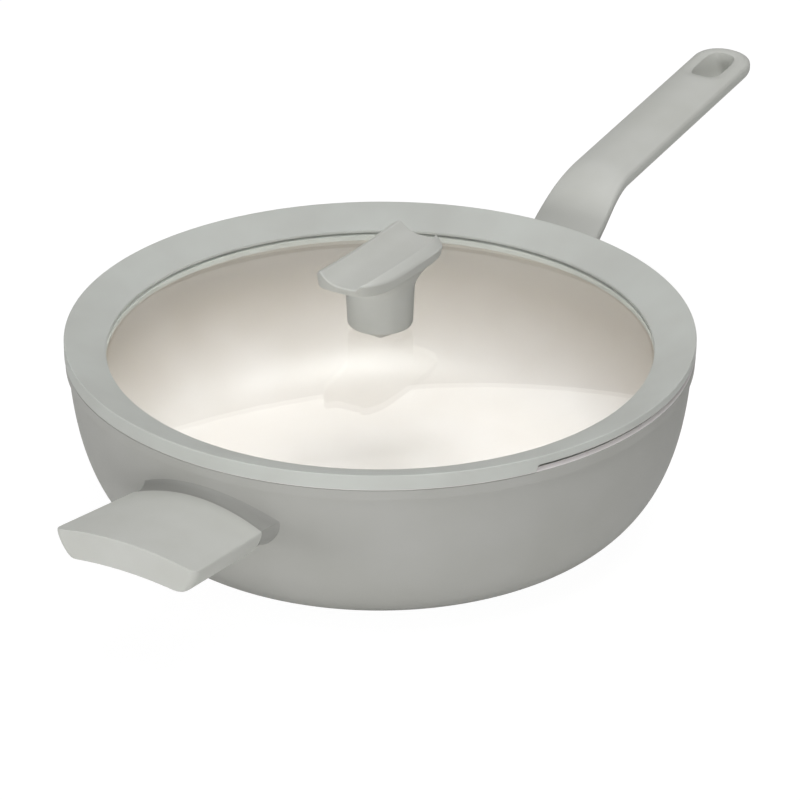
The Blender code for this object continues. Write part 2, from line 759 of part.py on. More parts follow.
def shank_hole(piece, name, frame, length):
    """Cut the hole of a screw's shank, starting at the head's outer face."""
    bore = add_cutter(name, rod_mesh(name, SCREW_RADIUS + GAP, length))
    bore.matrix_world = frame
    boolean(piece, bore)


def head_hole(piece, name, frame):
    """Cut the counterbore of a screw's head out through the grip's underside."""
    depth = 4.0 * SCREW_HEAD_HEIGHT
    head = add_cutter(name, rod_mesh(name, SCREW_HEAD_RADIUS + GAP, depth))
    head.matrix_world = frame @ Matrix.Translation((0.0, 0.0, SCREW_HEAD_HEIGHT + GAP - depth))
    boolean(piece, head)


def wall_cutter(name):
    """Solid of the pan's outside grown by the clearance, which shapes what sits on the wall."""
    wall = wall_points(lambda t: GAP)
    profile = [(0.0, wall[-1][1])] + wall[::-1] + [(0.0, wall[0][1])]
    return turned_cutter(name, profile)


def bracket_ring(grip, x, grow, lift):
    """Ring of a bracket: the ring of the grip's root, drawn in or flared by grow and lifted."""
    root = grip["root"]
    depth = grip["depth"](root) + lift + grow
    return grip_ring(x, grip["half"](root) + grow, grip["edge"](root) + lift, grip["crown"](root),
                     grip["side"](root), depth, grip["keel"])


def make_bracket(name, grip, frame, side, wall):
    """Collar welded to the pan wall, with a tongue that runs into the grip's pocket."""
    end = grip["root"] - GAP
    inset = BRACKET_INSET
    rings = [
        bracket_ring(grip, WALL_TOP_RADIUS - 2.0 * WALL_THICKNESS, BRACKET_FLARE, BRACKET_LIFT),
        bracket_ring(grip, WALL_TOP_RADIUS - GAP, BRACKET_FLARE / 2.0, BRACKET_LIFT / 2.0),
        bracket_ring(grip, (end + WALL_TOP_RADIUS) / 2.0, -inset, -inset),
        bracket_ring(grip, end, -inset, -inset),
    ]
    bracket = add(name, loft_mesh(name, rings), "pan_paint")
    bracket.matrix_world = side
    tongue = tongue_box(name + "_tongue", side @ frame, grip["tongue_half"], grip["tongue_length"],
                        0.0, end - WALL_TOP_RADIUS)
    boolean(bracket, tongue, "UNION")
    boolean(bracket, wall)
    for number, y in enumerate((-grip["stud_y"], grip["stud_y"]), 1):
        hole = stud_rod(name + "_stud_hole_" + str(number), y, grip, side, GAP, add_cutter)
        boolean(bracket, hole)
    through = SCREW_COVER + 2.0 * TONGUE_THICKNESS
    for number, y in enumerate(grip["screw_ys"], 1):
        place = side @ screw_frame(frame, grip["screw_along"], y)
        shank_hole(bracket, name + "_shank_" + str(number), place, through)
    return bracket


def stud_rod(name, y, grip, side, extra, adder):
    """Rod of a stud square to the YZ plane, or its hole when extra is the clearance."""
    start = WALL_TOP_RADIUS - 3.0 * WALL_THICKNESS
    end = WALL_TOP_RADIUS + STUD_LENGTH + extra
    edge_z = grip["edge"](grip["root"])
    rod = adder(name, rod_mesh(name, STUD_RADIUS + extra, end - start, SMALL_STEPS // 2))
    lay = Matrix.Translation((start, y, edge_z - STUD_DROP)) @ Matrix.Rotation(math.radians(90.0), 4, "Y")
    rod.matrix_world = side @ lay
    return rod


def make_studs(name, grip, side, wall):
    """The two studs of one bracket, ended on the pan wall."""
    for number, y in enumerate((-grip["stud_y"], grip["stud_y"]), 1):
        stud = stud_rod(name + "_" + str(number), y, grip, side, 0.0,
                        lambda label, mesh: add(label, mesh, "aluminium"))
        boolean(stud, wall)


def make_grip(name, grip, frame, side):
    """Moulded grip: lofted body, pocket for the tongue and holes for its screws."""
    stations = grip["stations"] + end_stations(grip["end"], grip["corner"])
    rings = [
        grip_ring(x, grip["half"](x), grip["edge"](x), grip["crown"](x), grip["side"](x),
                  grip["depth"](x), grip["keel"])
        for x in stations
    ]
    body = add(name, loft_mesh(name, rings), "grip")
    body.matrix_world = side
    pocket = tongue_box(name + "_pocket", side @ frame, grip["tongue_half"], grip["tongue_length"],
                        GAP, 4.0 * TONGUE_THICKNESS)
    boolean(body, pocket)
    into_pocket = SCREW_COVER + TONGUE_THICKNESS
    for number, y in enumerate(grip["screw_ys"], 1):
        place = side @ screw_frame(frame, grip["screw_along"], y)
        shank_hole(body, name + "_shank_" + str(number), place, into_pocket)
        head_hole(body, name + "_head_" + str(number), place)
    return body


def hanging_hole_centre():
    """Distance of the hanging hole's middle from the axis."""
    return HANDLE_END_X - HOLE_END_WALL - HOLE_LENGTH / 2.0


def hanging_hole_cutter():
    """Rounded slot through the long handle's end, square to its top."""
    outline = []
    length, width, radius = HOLE_LENGTH / 2.0, HANDLE_HALF_WIDTH - HOLE_SIDE_WALL, HOLE_CORNER
    corners = ((1, 1, 0.0), (-1, 1, 90.0), (-1, -1, 180.0), (1, -1, 270.0))
    for along, across, start in corners:
        for i in range(CORNER_POINTS):
            angle = math.radians(start + 90.0 * i / (CORNER_POINTS - 1))
            x = along * (length - radius) + radius * math.cos(angle)
            y = across * (width - radius) + radius * math.sin(angle)
            outline.append((x, y))
    cutter = add_cutter("cut_hanging_hole", prism_mesh("cut_hanging_hole", outline, 4.0 * HANDLE_DEPTH))
    centre = hanging_hole_centre()
    cutter.location = (centre, 0.0, handle_edge_height(centre))
    cutter.rotation_euler = (0.0, -HANDLE_SLOPE, 0.0)
    return cutter


def long_handle_sizes():
    """What the shared makers need to know of the long handle."""
    return {
        "root": HANDLE_ROOT_X, "end": HANDLE_END_X, "corner": HANDLE_CORNER,
        "half": handle_half_width, "edge": handle_edge_height, "depth": handle_depth,
        "crown": handle_crown, "side": handle_side, "keel": HANDLE_KEEL,
        "tongue_half": HANDLE_HALF_WIDTH - HANDLE_TONGUE_MARGIN, "tongue_length": HANDLE_TONGUE_LENGTH,
        "stud_y": HANDLE_ROOT_HALF_WIDTH - HANDLE_STUD_INSET,
        "screw_ys": (0.0,), "screw_along": HANDLE_SCREW_ALONG,
        "stations": handle_stations(),
    }


def handle_stations():
    """Distances of the long handle's rings: closer round the bend, wide along the grip."""
    first = HANDLE_ROOT_X
    bend = HANDLE_ROOT_X + HANDLE_TAPER_END + HANDLE_BEND_EASE
    near = [first + (bend - first) * i / 9 for i in range(10)]
    last = HANDLE_END_X - HANDLE_CORNER
    far = [bend + (last - bend) * i / 4 for i in range(1, 5)]
    return near + far


def helper_handle_sizes():
    """What the shared makers need to know of the helper handle."""
    last = HELPER_END_X - HELPER_CORNER
    tongue_half = HELPER_ROOT_HALF_WIDTH - HELPER_TONGUE_MARGIN
    screw_y = tongue_half - HELPER_SCREW_INSET
    return {
        "root": HELPER_ROOT_X, "end": HELPER_END_X, "corner": HELPER_CORNER,
        "half": helper_half_width, "edge": helper_edge_height, "depth": lambda x: HELPER_DEPTH,
        "crown": helper_crown, "side": lambda x: HELPER_SIDE, "keel": HELPER_KEEL,
        "tongue_half": tongue_half, "tongue_length": HELPER_TONGUE_LENGTH,
        "stud_y": HELPER_ROOT_HALF_WIDTH - HELPER_STUD_INSET,
        "screw_ys": (-screw_y, screw_y), "screw_along": HELPER_SCREW_ALONG,
        "stations": [HELPER_ROOT_X + (last - HELPER_ROOT_X) * i / 3 for i in range(4)],
    }


def make_long_handle(wall):
    """Bracket, studs, grip and screw on the +X side."""
    grip = long_handle_sizes()
    side = Matrix.Identity(4)
    frame = tongue_frame(HANDLE_ROOT_X, HANDLE_ROOT_Z, HANDLE_RISE, HANDLE_TONGUE_DEPTH)
    body = make_grip("long_handle", grip, frame, side)
    boolean(body, hanging_hole_cutter())
    make_bracket("long_handle_bracket", grip, frame, side, wall)
    make_studs("long_handle_stud", grip, side, wall)
    make_screw("long_handle_screw", screw_frame(frame, grip["screw_along"], 0.0), side)


def make_helper_handle(wall):
    """Bracket, studs, grip and screws on the -X side."""
    grip = helper_handle_sizes()
    side = Matrix.Rotation(math.pi, 4, "Z")
    frame = tongue_frame(HELPER_ROOT_X, HELPER_ROOT_Z, HELPER_SLOPE, HELPER_TONGUE_DEPTH)
    make_grip("helper_handle", grip, frame, side)
    make_bracket("helper_handle_bracket", grip, frame, side, wall)
    make_studs("helper_handle_stud", grip, side, wall)
    for number, y in enumerate(grip["screw_ys"], 1):
        place = screw_frame(frame, grip["screw_along"], y)
        make_screw("helper_handle_screw_" + str(number), place, side)


def main():
    """Build every piece of the wok and its lid."""
    make_pan()
    make_lining()
    make_base_plate()
    wall = wall_cutter("cut_wall")
    make_long_handle(wall)
    make_helper_handle(wall)
    make_glass()
    make_lid_rim()
    make_knob()
    make_knob_hardware()


clear_scene()
PARTS = new_collection("wok_with_lid")
CUTTERS = new_collection("cutters")
main()
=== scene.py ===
"""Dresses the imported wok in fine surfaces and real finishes, and sets up its studio and camera.

Every surface is worked out with numpy as a grid of points: a turned profile, a stack of rings or a
height over a plan. All sizes are in metres in the frame of the CAD model: the pan's axis is Z, its
base stands at 0, the long handle points along +X and the lid's strainer notch faces -Y.
"""

import math
from functools import partial

import bmesh
import bpy
import numpy as np
from bpy.props import FloatProperty, IntProperty, PointerProperty, StringProperty
from mathutils import Matrix, Quaternion, Vector


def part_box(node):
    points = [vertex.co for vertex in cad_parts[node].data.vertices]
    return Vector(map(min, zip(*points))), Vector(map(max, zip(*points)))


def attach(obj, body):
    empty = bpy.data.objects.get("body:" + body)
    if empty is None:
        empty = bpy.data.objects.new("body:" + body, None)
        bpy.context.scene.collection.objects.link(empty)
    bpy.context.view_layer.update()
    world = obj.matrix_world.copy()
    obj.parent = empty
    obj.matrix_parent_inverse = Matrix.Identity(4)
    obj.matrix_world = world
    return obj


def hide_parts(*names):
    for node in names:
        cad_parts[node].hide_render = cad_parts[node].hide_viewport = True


bl_info = {
    "name": "Wok with glass lid",
    "version": (1, 0, 0),
    "blender": (4, 5, 0),
    "location": "3D View > Sidebar > Wok",
    "description": "Fine surfaces, finishes and studio for a wok with a domed glass lid",
    "category": "Add Mesh",
}

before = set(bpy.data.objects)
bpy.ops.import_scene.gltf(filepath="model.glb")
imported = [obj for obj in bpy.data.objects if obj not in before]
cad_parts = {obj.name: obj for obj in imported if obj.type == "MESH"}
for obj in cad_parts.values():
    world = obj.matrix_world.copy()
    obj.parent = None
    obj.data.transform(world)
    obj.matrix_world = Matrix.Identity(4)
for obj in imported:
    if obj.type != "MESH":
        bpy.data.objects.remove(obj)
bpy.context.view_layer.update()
# Welding distance, gap between touching pieces, and height of the small steps of the pan's rim
WELD = 0.000002
GAP = 0.0003
STEP = 0.0004


def low(node):
    """Lowest corner of a CAD node."""
    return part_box(node)[0]


def high(node):
    """Highest corner of a CAD node."""
    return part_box(node)[1]


# Property helpers

def height(name, default, description, **limits):
    """A height or a place in metres, which may be negative."""
    return FloatProperty(name=name, default=default, description=description, precision=5,
                         subtype="DISTANCE", unit="LENGTH", **limits)


def length(name, default, description):
    """A size in metres."""
    return height(name, default, description, min=0.0)


def angle(name, degrees, description):
    """An angle, shown in degrees."""
    return FloatProperty(name=name, default=math.radians(degrees), description=description,
                         subtype="ANGLE", unit="ROTATION")


def share(name, default, description):
    """A share from 0 to 1."""
    return FloatProperty(name=name, default=default, description=description, min=0.0, max=1.0,
                         subtype="FACTOR")


def number(name, default, description):
    """A plain number."""
    return FloatProperty(name=name, default=default, description=description)


def colour(name, default, description):
    """A colour as sRGB hex."""
    return StringProperty(name=name, default=default, description=description)


class WokPanSizes(bpy.types.PropertyGroup):
    """Sizes of the cast pan, its coating and its base disc."""
    height: length("Height", high("pan_body").z, "Height of the rim over the base")
    rim_radius: length("Rim radius", high("pan_body").x, "Outer radius of the rim band")
    band: length("Rim band", 0.0062, "Height of the thick band under the rim")
    overhang: length("Overhang", 0.0015, "How far the rim band stands out from the wall")
    wall: length("Wall", 0.0035, "Thickness of the wall")
    floor: length("Floor", 0.0042, "Thickness of the floor")
    base_radius: length("Base radius", 0.0885, "Radius at which the wall starts to rise")
    base_sweep: length("Base sweep", 0.0475, "Reach of the wall curve's lower handle")
    wall_sweep: length("Wall sweep", 0.031, "Reach of the wall curve's upper handle")
    lean: angle("Lean", 86.0, "Slope of the wall under the rim")
    clearance: length("Base clearance", 0.0004, "Height of the cast base over the steel disc's face")
    disc_radius: length("Disc radius", high("induction_plate").x, "Radius of the steel disc")
    disc_thickness: length("Disc thickness", high("induction_plate").z, "Thickness of the steel disc")
    coat: length("Coating", 0.0005, "Thickness of the ceramic coating, drawn thick enough to see")
    lip_inset: length("Lip inset", 0.0036, "Width of the slope from the mouth up to the rim's crest")
    lip_fall: length("Lip fall", 0.0023, "Fall of that slope")
    rim_rise: length("Rim rise", 0.0010, "How far the rim's crest stands over the pan's height")
    cone: length("Cone", 0.0013, "Width of the sloping seat outside the crest")
    cone_fall: length("Cone fall", 0.0015, "Fall of the sloping seat")


class WokLidSizes(bpy.types.PropertyGroup):
    """Sizes of the glass and of the silicone rim."""
    radius: length("Radius", high("lid_rim").x, "Outer radius of the silicone rim")
    seat: height("Seat", 0.0858, "Height that the other heights of the rim start from")
    rim_height: length("Rim height", 0.0066, "Height of the rim's outer edge over the seat")
    rim_width: length("Rim width", 0.0195, "Width of the silicone rim seen from above")
    dish: length("Dish", 0.0071, "Fall of the rim's top from its outer to its inner edge")
    inner_side: length("Inner side", 0.0027, "Height of the silicone side seen through the glass")
    plug_depth: length("Plug depth", 0.0095, "How far the rim reaches down into the mouth")
    plug_radius: length("Plug radius", 0.1404, "Outer radius of the part inside the mouth")
    groove_radius: length("Groove radius", 0.1353, "Radius of the groove that holds the glass")
    edge: length("Edge", 0.0009, "Rounding of the rim's edges")
    glass: length("Glass", 0.004, "Thickness of the glass")
    glass_radius: length("Glass radius", high("lid_glass").x, "Radius of the glass")
    glass_top: height("Glass top", high("lid_glass").z, "Height of the dome's middle")
    rise: length("Rise", 0.011, "Rise of the dome over the rim's inner edge")
    hole: length("Hole", 0.0035, "Radius of the hole for the knob's screw")
    notch_angle: angle("Notch angle", 29.5, "Half the angle over which the strainer notch runs")
    notch_height: length("Notch height", 0.0031, "Height of the strainer notch under the rim")
    skirt_drop: length("Skirt drop", 0.0007, "How far the rim's outer edge reaches under its seat")
    seat_rise: length("Seat rise", 0.0012, "Height of the rim's underside over the seat")
    notch_depth: length("Notch depth", 0.0075, "How far in the notch's slot reaches")


class WokKnobSizes(bpy.types.PropertyGroup):
    """Sizes of the knob."""
    foot_radius: length("Foot radius", 0.0153, "Radius of the foot")
    stem_radius: length("Stem radius", 0.0160, "Radius of the stem where the flare starts")
    foot_bevel: length("Foot bevel", 0.0014, "Rounding of the foot")
    foot: height("Foot", low("knob_grip").z, "Height of the foot")
    plate: height("Plate", 0.1227, "Height of the plate's underside")
    top: height("Top", high("knob_grip").z, "Height of the crest")
    half_length: length("Half length", 0.036, "Half the plate's length")
    near_cut: length("Near cut", 0.0027, "How much shorter the plate is over the helper handle")
    half_width: length("Half width", 0.0172, "Half the plate's width")
    rake: length("Rake", 0.002, "How much shorter the underside is than the top, at each end")
    flare: length("Flare", 0.0095, "Height of the stem's flare under the plate")
    rear_corner: number("Rear corner", 6.0, "Squareness of the plate's rear corners")
    near_corner: number("Near corner", 3.0, "Squareness of the front corner over the helper handle")
    far_corner: number("Far corner", 4.4, "Squareness of the front corner over the long handle")
    crest: height("Crest", 0.0112, "Distance of the crest behind the middle")
    sag: length("Crest sag", 0.0012, "Sag of the crest's middle")
    trough: length("Trough", 0.0049, "Depth of the spoon trough under the crest")
    trough_front: length("Trough front", 0.0030, "Rise of the trough's floor in front of the lip")
    trough_back: height("Trough back", 0.001, "Where the trough's floor starts to rise to the crest")
    lip_reach: length("Lip reach", 0.0131, "Distance of the front lip's inner edge from the middle")
    lip_near: length("Lip near", 0.0362, "Reach of the bow over the helper handle")
    lip_far: length("Lip far", 0.0385, "Reach of the bow over the long handle")
    lip_top: length("Lip top", 0.0006, "Depth of the front lip under the crest")
    near_sink: length("Near sink", 0.0038, "How much lower the lip is over the helper handle")
    far_sink: length("Far sink", 0.0018, "How much lower the lip is over the long handle")
    lip_drop: length("Lip drop", 0.0034, "Fall of the lip towards the plate's front edge")
    shoulder: length("Shoulder", 0.0046, "Fall from the crest to the rear edge")
    edge: length("Edge", 0.0008, "Rounding of the plate's edges")


class WokGripSizes(bpy.types.PropertyGroup):
    """Sizes of the long handle."""
    root: length("Root", 0.151, "Distance of the handle's root from the axis")
    end: length("End", high("long_handle").x - 0.0012, "Distance of the handle's end from the axis")
    root_height: height("Root height", 0.0655, "Height of the root's upper edges")
    rise: angle("Rise", 35.0, "Slope from the root to the bend")
    slope: angle("Slope", 7.4, "Slope after the bend")
    bend: length("Bend", 0.045, "Distance of the bend from the root")
    ease: length("Ease", 0.012, "Half the length over which the bend is rounded")
    root_half: length("Root half width", 0.0187, "Half width at the root")
    half: length("Half width", 0.0159, "Half width of the grip")
    taper_start: length("Taper start", 0.021, "Where the width starts to shrink")
    taper_end: length("Taper end", 0.057, "Where the width stops shrinking")
    corner: length("Corner", 0.0125, "Radius of the end's corners in plan")
    crown: length("Crown", 0.0036, "Rise of the middle over the edges")
    root_side: length("Root side", 0.001, "Height of the upright side at the root")
    side: length("Side", 0.0035, "Height of the upright side along the grip")
    root_depth: length("Root depth", 0.0168, "Depth at the root")
    depth: length("Depth", 0.0102, "Depth along the grip")
    keel: share("Keel", 0.5, "Width of the flat underside as a share of the whole")
    edge: length("Edge", 0.0015, "Rounding of the upper edges")
    hole_half_length: length("Hole half length", 0.0135, "Half the hanging hole's length")
    hole_half_width: length("Hole half width", 0.0081, "Half the hanging hole's width")
    hole_middle: length("Hole middle", 0.3205, "Distance of the hanging hole from the axis")
    hole_square: number("Hole squareness", 3.3, "How square the hanging hole's corners are")
    draft: share("Draft", 0.64, "How much narrower the hanging hole is below")
    dish_width: length("Dish width", 0.0045, "Width of the dished edge round the hole")
    dish_depth: length("Dish depth", 0.0016, "Depth of the dished edge round the hole")


class WokHelperSizes(bpy.types.PropertyGroup):
    """Sizes of the helper handle."""
    root: length("Root", 0.1505, "Distance of the root from the axis")
    end: length("End", 0.2055, "Distance of the front from the axis")
    root_height: height("Root height", 0.0638, "Height of the root's upper edges")
    slope: angle("Slope", 6.0, "Slope of the grip")
    root_half: length("Root half width", 0.0347, "Half width at the root")
    half: length("Half width", 0.0375, "Half width at the front")
    corner: length("Corner", 0.0042, "Radius of the front corners in plan")
    root_crown: length("Root crown", 0.0075, "Rise of the middle over the edges at the root")
    crown: length("Crown", 0.0042, "Rise of the middle over the edges at the front")
    side: length("Side", 0.0012, "Height of the upright side")
    depth: length("Depth", 0.0123, "Depth under the edges")
    keel: share("Keel", 0.8, "Width of the underside as a share of the whole")
    arch: length("Arch", 0.0022, "Rise of the underside's middle")
    edge: length("Edge", 0.0004, "Rounding of the upper edges")


class WokBracketSizes(bpy.types.PropertyGroup):
    """Sizes of the brackets between the wall and the grips."""
    inset: length("Inset", 0.0015, "How far the neck is drawn in from the grip's root")
    fillet: length("Fillet", 0.005, "Radius of the fillet on the wall")
    long_half: length("Long half width", 0.0205, "Half width of the long handle's bracket on the wall")
    long_depth: length("Long depth", 0.0205, "Depth of the long handle's bracket on the wall")
    helper_half: length("Helper half width", 0.0358, "Half width of the helper's bracket on the wall")
    helper_crown: length("Helper crown", 0.0098, "Crown of the helper's bracket on the wall")
    helper_depth: length("Helper depth", 0.0185, "Depth of the helper's bracket on the wall")


class WokColours(bpy.types.PropertyGroup):
    """Colours of the finishes, as sRGB hex."""
    paint: colour("Paint", "#B3B3AF", "Sprayed paint of the pan's outside")
    paint_shade: colour("Paint shade", "#AEAEA9", "Thin places of the sprayed paint")
    # The brackets' two tones are darker than the pan's paint as painted shade, for the shade round the
    # helper's bracket between its grip and the wall
    bracket: colour("Bracket", "#A3A39F", "Sprayed paint of the brackets")
    bracket_painted_shade: colour("Bracket shade", "#9E9E9A", "Thin places of the brackets' paint")
    grip: colour("Grip", "#CACBC6", "Moulded grips and knob")
    grip_shade: colour("Grip shade", "#C5C6C0", "Slightly deeper tone of the moulded grips")
    silicone: colour("Silicone", "#C9CCC7", "Moulded silicone rim")
    silicone_shade: colour("Silicone shade", "#C3C5C0", "Slightly deeper tone of the silicone")
    # The ceramic's two tones carry painted light and shade: the pale one is painted light on the floor and
    # a painted highlight on the rim, the deeper one is painted shade on the wall
    ceramic: colour("Ceramic", "#F2EDEC", "Ceramic coating where it is thick")
    ceramic_painted_shade: colour("Ceramic shade", "#C4BBAF", "Ceramic coating where it is thin")
    glass: colour("Glass", "#FAFCFA", "Tint of the glass")
    steel: colour("Steel", "#CFCDC9", "Brushed steel")
    aluminium: colour("Aluminium", "#D6D6D4", "Cast and turned aluminium")
    brass: colour("Brass", "#C9A45C", "Turned brass")
    gasket: colour("Gasket", "#D9D7D1", "Clear grey silicone of the gaskets")
    floor: colour("Floor", "#F0F0EF", "Studio floor")


class WokStudio(bpy.types.PropertyGroup):
    """Camera, surroundings and fineness. Directions are seen from the object."""
    distance: length("Camera distance", 2.0, "Distance of the camera from the lid's middle")
    azimuth: angle("Camera azimuth", -57.3, "Direction the camera stands in, from -Y towards +X")
    elevation: angle("Camera elevation", 25.63, "Height of the camera over the horizon")
    aim_height: height("Aim height", 0.0924, "Height of the point on the axis that sets the framing")
    aim_right: number("Aim right", -0.00456, "How far right of the centre it stands, as a tangent")
    aim_up: number("Aim up", 0.0165, "How far above the centre it stands, as a tangent")
    lens: FloatProperty(name="Lens", default=193.43, min=1.0, unit="CAMERA",
                        description="Focal length of the camera in millimetres")
    ambient: number("Ambient", 0.05, "Strength of the light from all round")
    mirrored: number("Mirrored surroundings", 0.15, "Strength of the surroundings in reflections")
    steps: IntProperty(name="Turn steps", default=256, min=32, max=512,
                       description="Points round the turned pieces")


class WokProperties(bpy.types.PropertyGroup):
    """Everything the panel shows."""
    pan: PointerProperty(type=WokPanSizes)
    lid: PointerProperty(type=WokLidSizes)
    knob: PointerProperty(type=WokKnobSizes)
    grip: PointerProperty(type=WokGripSizes)
    helper: PointerProperty(type=WokHelperSizes)
    bracket: PointerProperty(type=WokBracketSizes)
    colours: PointerProperty(type=WokColours)
    studio: PointerProperty(type=WokStudio)


# Numbers and curves

def eased(x):
    """Smooth step from 0 to 1: 3 x squared less 2 x cubed."""
    x = np.clip(x, 0.0, 1.0)
    return x * x * (3.0 - 2.0 * x)


def both_ends(count):
    """Numbers from 0 to 1, close together at both ends: half of 1 less a cosine."""
    return 0.5 - 0.5 * np.cos(np.pi * np.linspace(0.0, 1.0, count))


def far_end(count):
    """Numbers from 0 to 1, close together at 1: a sine over a quarter turn."""
    return np.sin(np.pi / 2.0 * np.linspace(0.0, 1.0, count))


def rounded(corners, cuts, steps=7):
    """Polyline with its corners rounded: each corner is cut back by its cut along both edges, and the
    two cut points are joined by the quadratic curve that the corner itself steers."""
    corners = np.array(corners, float)
    cuts = np.array(cuts, float)[:, None]
    before = np.roll(corners, 1, 0) - corners
    after = np.roll(corners, -1, 0) - corners
    a = corners + before / np.maximum(np.linalg.norm(before, axis=1, keepdims=True), 1e-9) * cuts
    b = corners + after / np.maximum(np.linalg.norm(after, axis=1, keepdims=True), 1e-9) * cuts
    t = np.linspace(0.0, 1.0, steps)[None, :, None]
    curve = (1 - t) ** 2 * a[:, None] + 2 * t * (1 - t) * corners[:, None] + t ** 2 * b[:, None]
    return curve.reshape(-1, 2)


def run_along(line):
    """Distance of each point of a line from its start, along the line."""
    return np.concatenate([[0.0], np.cumsum(np.linalg.norm(np.diff(line, axis=0), axis=1))])


def even_ring(points, count):
    """A closed line resampled to evenly spaced points."""
    loop = np.vstack([points, points[:1]])
    run = run_along(loop)
    at = np.linspace(0.0, run[-1], count, endpoint=False)
    return np.stack([np.interp(at, run, values) for values in loop.T], 1)


# Meshes

def carried(profiles, turns):
    """Points of profiles of radius and height, one profile for each angle round Z."""
    x = profiles[..., 0] * np.cos(turns)[:, None]
    y = profiles[..., 0] * np.sin(turns)[:, None]
    return np.stack([x, y, profiles[..., 1]], -1)


def turned(profile, steps):
    """Points of one profile of radius and height carried all round Z."""
    turns = np.linspace(0.0, 2.0 * np.pi, steps + 1)
    return carried(np.broadcast_to(profile, (steps + 1, *profile.shape)), turns)


def closed(rings):
    """Grid of a stack of rings, each carried back to its first point."""
    grid = np.stack(rings)
    return np.concatenate([grid, grid[:, :1]], 1)


def ring(outline, level):
    """Ring of points: an outline in plan, all at one level or each at its own."""
    return np.column_stack([outline, np.broadcast_to(level, len(outline))])


def between(first, second, level):
    """Grid of straight lines from each point of one line to the same point of another."""
    return first[:, None] * (1 - level)[None, :, None] + second[:, None] * level[None, :, None]


def grid_faces(rows, columns):
    """Quads of a grid of points."""
    i = np.arange(rows * columns).reshape(rows, columns)
    return np.stack([i[:-1, :-1], i[1:, :-1], i[1:, 1:], i[:-1, 1:]], -1).reshape(-1, 4)


def make_piece(name, grids, finish, body, nodes, sharp=38.0):
    """Object of one or more grids of points, welded where they meet, with its faces turned outwards.
    It takes a finish by name, rides on a body and stands for CAD nodes."""
    points = np.vstack([grid.reshape(-1, 3) for grid in grids])
    start = np.cumsum([0] + [grid.shape[0] * grid.shape[1] for grid in grids])
    faces = np.vstack([grid_faces(*grid.shape[:2]) + first for grid, first in zip(grids, start)])
    mesh = bpy.data.meshes.new(name)
    mesh.from_pydata(points.tolist(), [], faces.tolist())
    build = bmesh.new()
    build.from_mesh(mesh)
    bmesh.ops.remove_doubles(build, verts=build.verts, dist=WELD)
    bmesh.ops.dissolve_degenerate(build, edges=build.edges, dist=WELD)
    bmesh.ops.recalc_face_normals(build, faces=build.faces)
    build.to_mesh(mesh)
    build.free()
    mesh.shade_smooth()
    mesh.set_sharp_from_angle(angle=math.radians(sharp))
    mesh.materials.append(finish_of(finish))
    piece = bpy.data.objects.new(name, mesh)
    bpy.context.scene.collection.objects.link(piece)
    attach(piece, body)
    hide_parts(*nodes)
    return piece


# Materials

# A noise value nearly always lies between these
NOISE_LOW = 0.3
NOISE_HIGH = 0.7


def linear(code):
    """Linear RGBA of an sRGB hex colour."""
    parts = [int(code[i:i + 2], 16) / 255.0 for i in (1, 3, 5)]
    return tuple(p / 12.92 if p <= 0.04045 else ((p + 0.055) / 1.055) ** 2.4 for p in parts) + (1.0,)


def per_metre(millimetres):
    """Texture scale whose features are about so many millimetres wide."""
    return 1000.0 / millimetres


def add_node(tree, kind, sockets=None, **settings):
    """Add a shader node with its settings. Each socket gets a value, or a link if it is given an
    output or a node, whose first output is then taken."""
    node = tree.nodes.new(kind)
    for key, value in settings.items():
        setattr(node, key, value)
    for key, value in (sockets or {}).items():
        if isinstance(value, bpy.types.Node):
            value = value.outputs[0]
        if isinstance(value, bpy.types.NodeSocket):
            tree.links.new(value, node.inputs[key])
        else:
            node.inputs[key].default_value = value
    return node


def empty_tree(owner):
    """Node tree of a material or a world, emptied."""
    owner.use_nodes = True
    owner.node_tree.nodes.clear()
    return owner.node_tree


def start_finish(name, sockets):
    """New material with a Principled shader. Returns it, its tree, the shader and the object
    coordinates, which are metres in the frame of the model."""
    finish = bpy.data.materials.new(name)
    tree = empty_tree(finish)
    shader = add_node(tree, "ShaderNodeBsdfPrincipled", sockets)
    add_node(tree, "ShaderNodeOutputMaterial", {"Surface": shader})
    return finish, tree, shader, add_node(tree, "ShaderNodeTexCoord").outputs["Object"]


def dress(tree, shader, factor, tones, grain, rough, bump):
    """Feed the shader: a colour between two tones, and a grain's roughness from low to high and its
    relief, by strength and by depth in metres."""
    mix = add_node(tree, "ShaderNodeMix", {0: factor, 6: linear(tones[0]), 7: linear(tones[1])},
                   data_type="RGBA")
    uneven = add_node(tree, "ShaderNodeMapRange", {0: grain, 1: NOISE_LOW, 2: NOISE_HIGH, 3: rough[0],
                                                   4: rough[1]})
    relief = add_node(tree, "ShaderNodeBump", {"Height": grain, "Strength": bump[0], "Distance": bump[1]})
    tree.links.new(mix.outputs[2], shader.inputs["Base Color"])
    tree.links.new(uneven.outputs[0], shader.inputs["Roughness"])
    tree.links.new(relief.outputs[0], shader.inputs["Normal"])


def grained(name, sockets, tones, cloud_size, grain_size, detail, rough, bump):
    """Finish whose two tones drift like clouds and whose grain shows in roughness and relief. The
    clouds' and the grain's sizes are in millimetres."""
    finish, tree, shader, where = start_finish(name, sockets)
    cloud = add_node(tree, "ShaderNodeTexNoise", {"Vector": where, "Scale": per_metre(cloud_size)})
    grain = add_node(tree, "ShaderNodeTexNoise", {"Vector": where, "Scale": per_metre(grain_size),
                                                  "Detail": detail})
    factor = add_node(tree, "ShaderNodeMapRange", {0: cloud, 1: NOISE_LOW, 2: NOISE_HIGH})
    dress(tree, shader, factor, tones, grain, rough, bump)
    return finish


def sprayed_paint(tones):
    """Heat-proof paint sprayed on cast aluminium: matt, with a fine mist grain and a soft cloudiness.
    Real mist grain is 0.2 mm; it is drawn at 0.9 mm so that it shows at all."""
    return grained("sprayed matt paint", {"IOR": 1.48}, tones, 38.0, 0.9, 1.0, (0.52, 0.62),
                   (0.25, 0.00003))


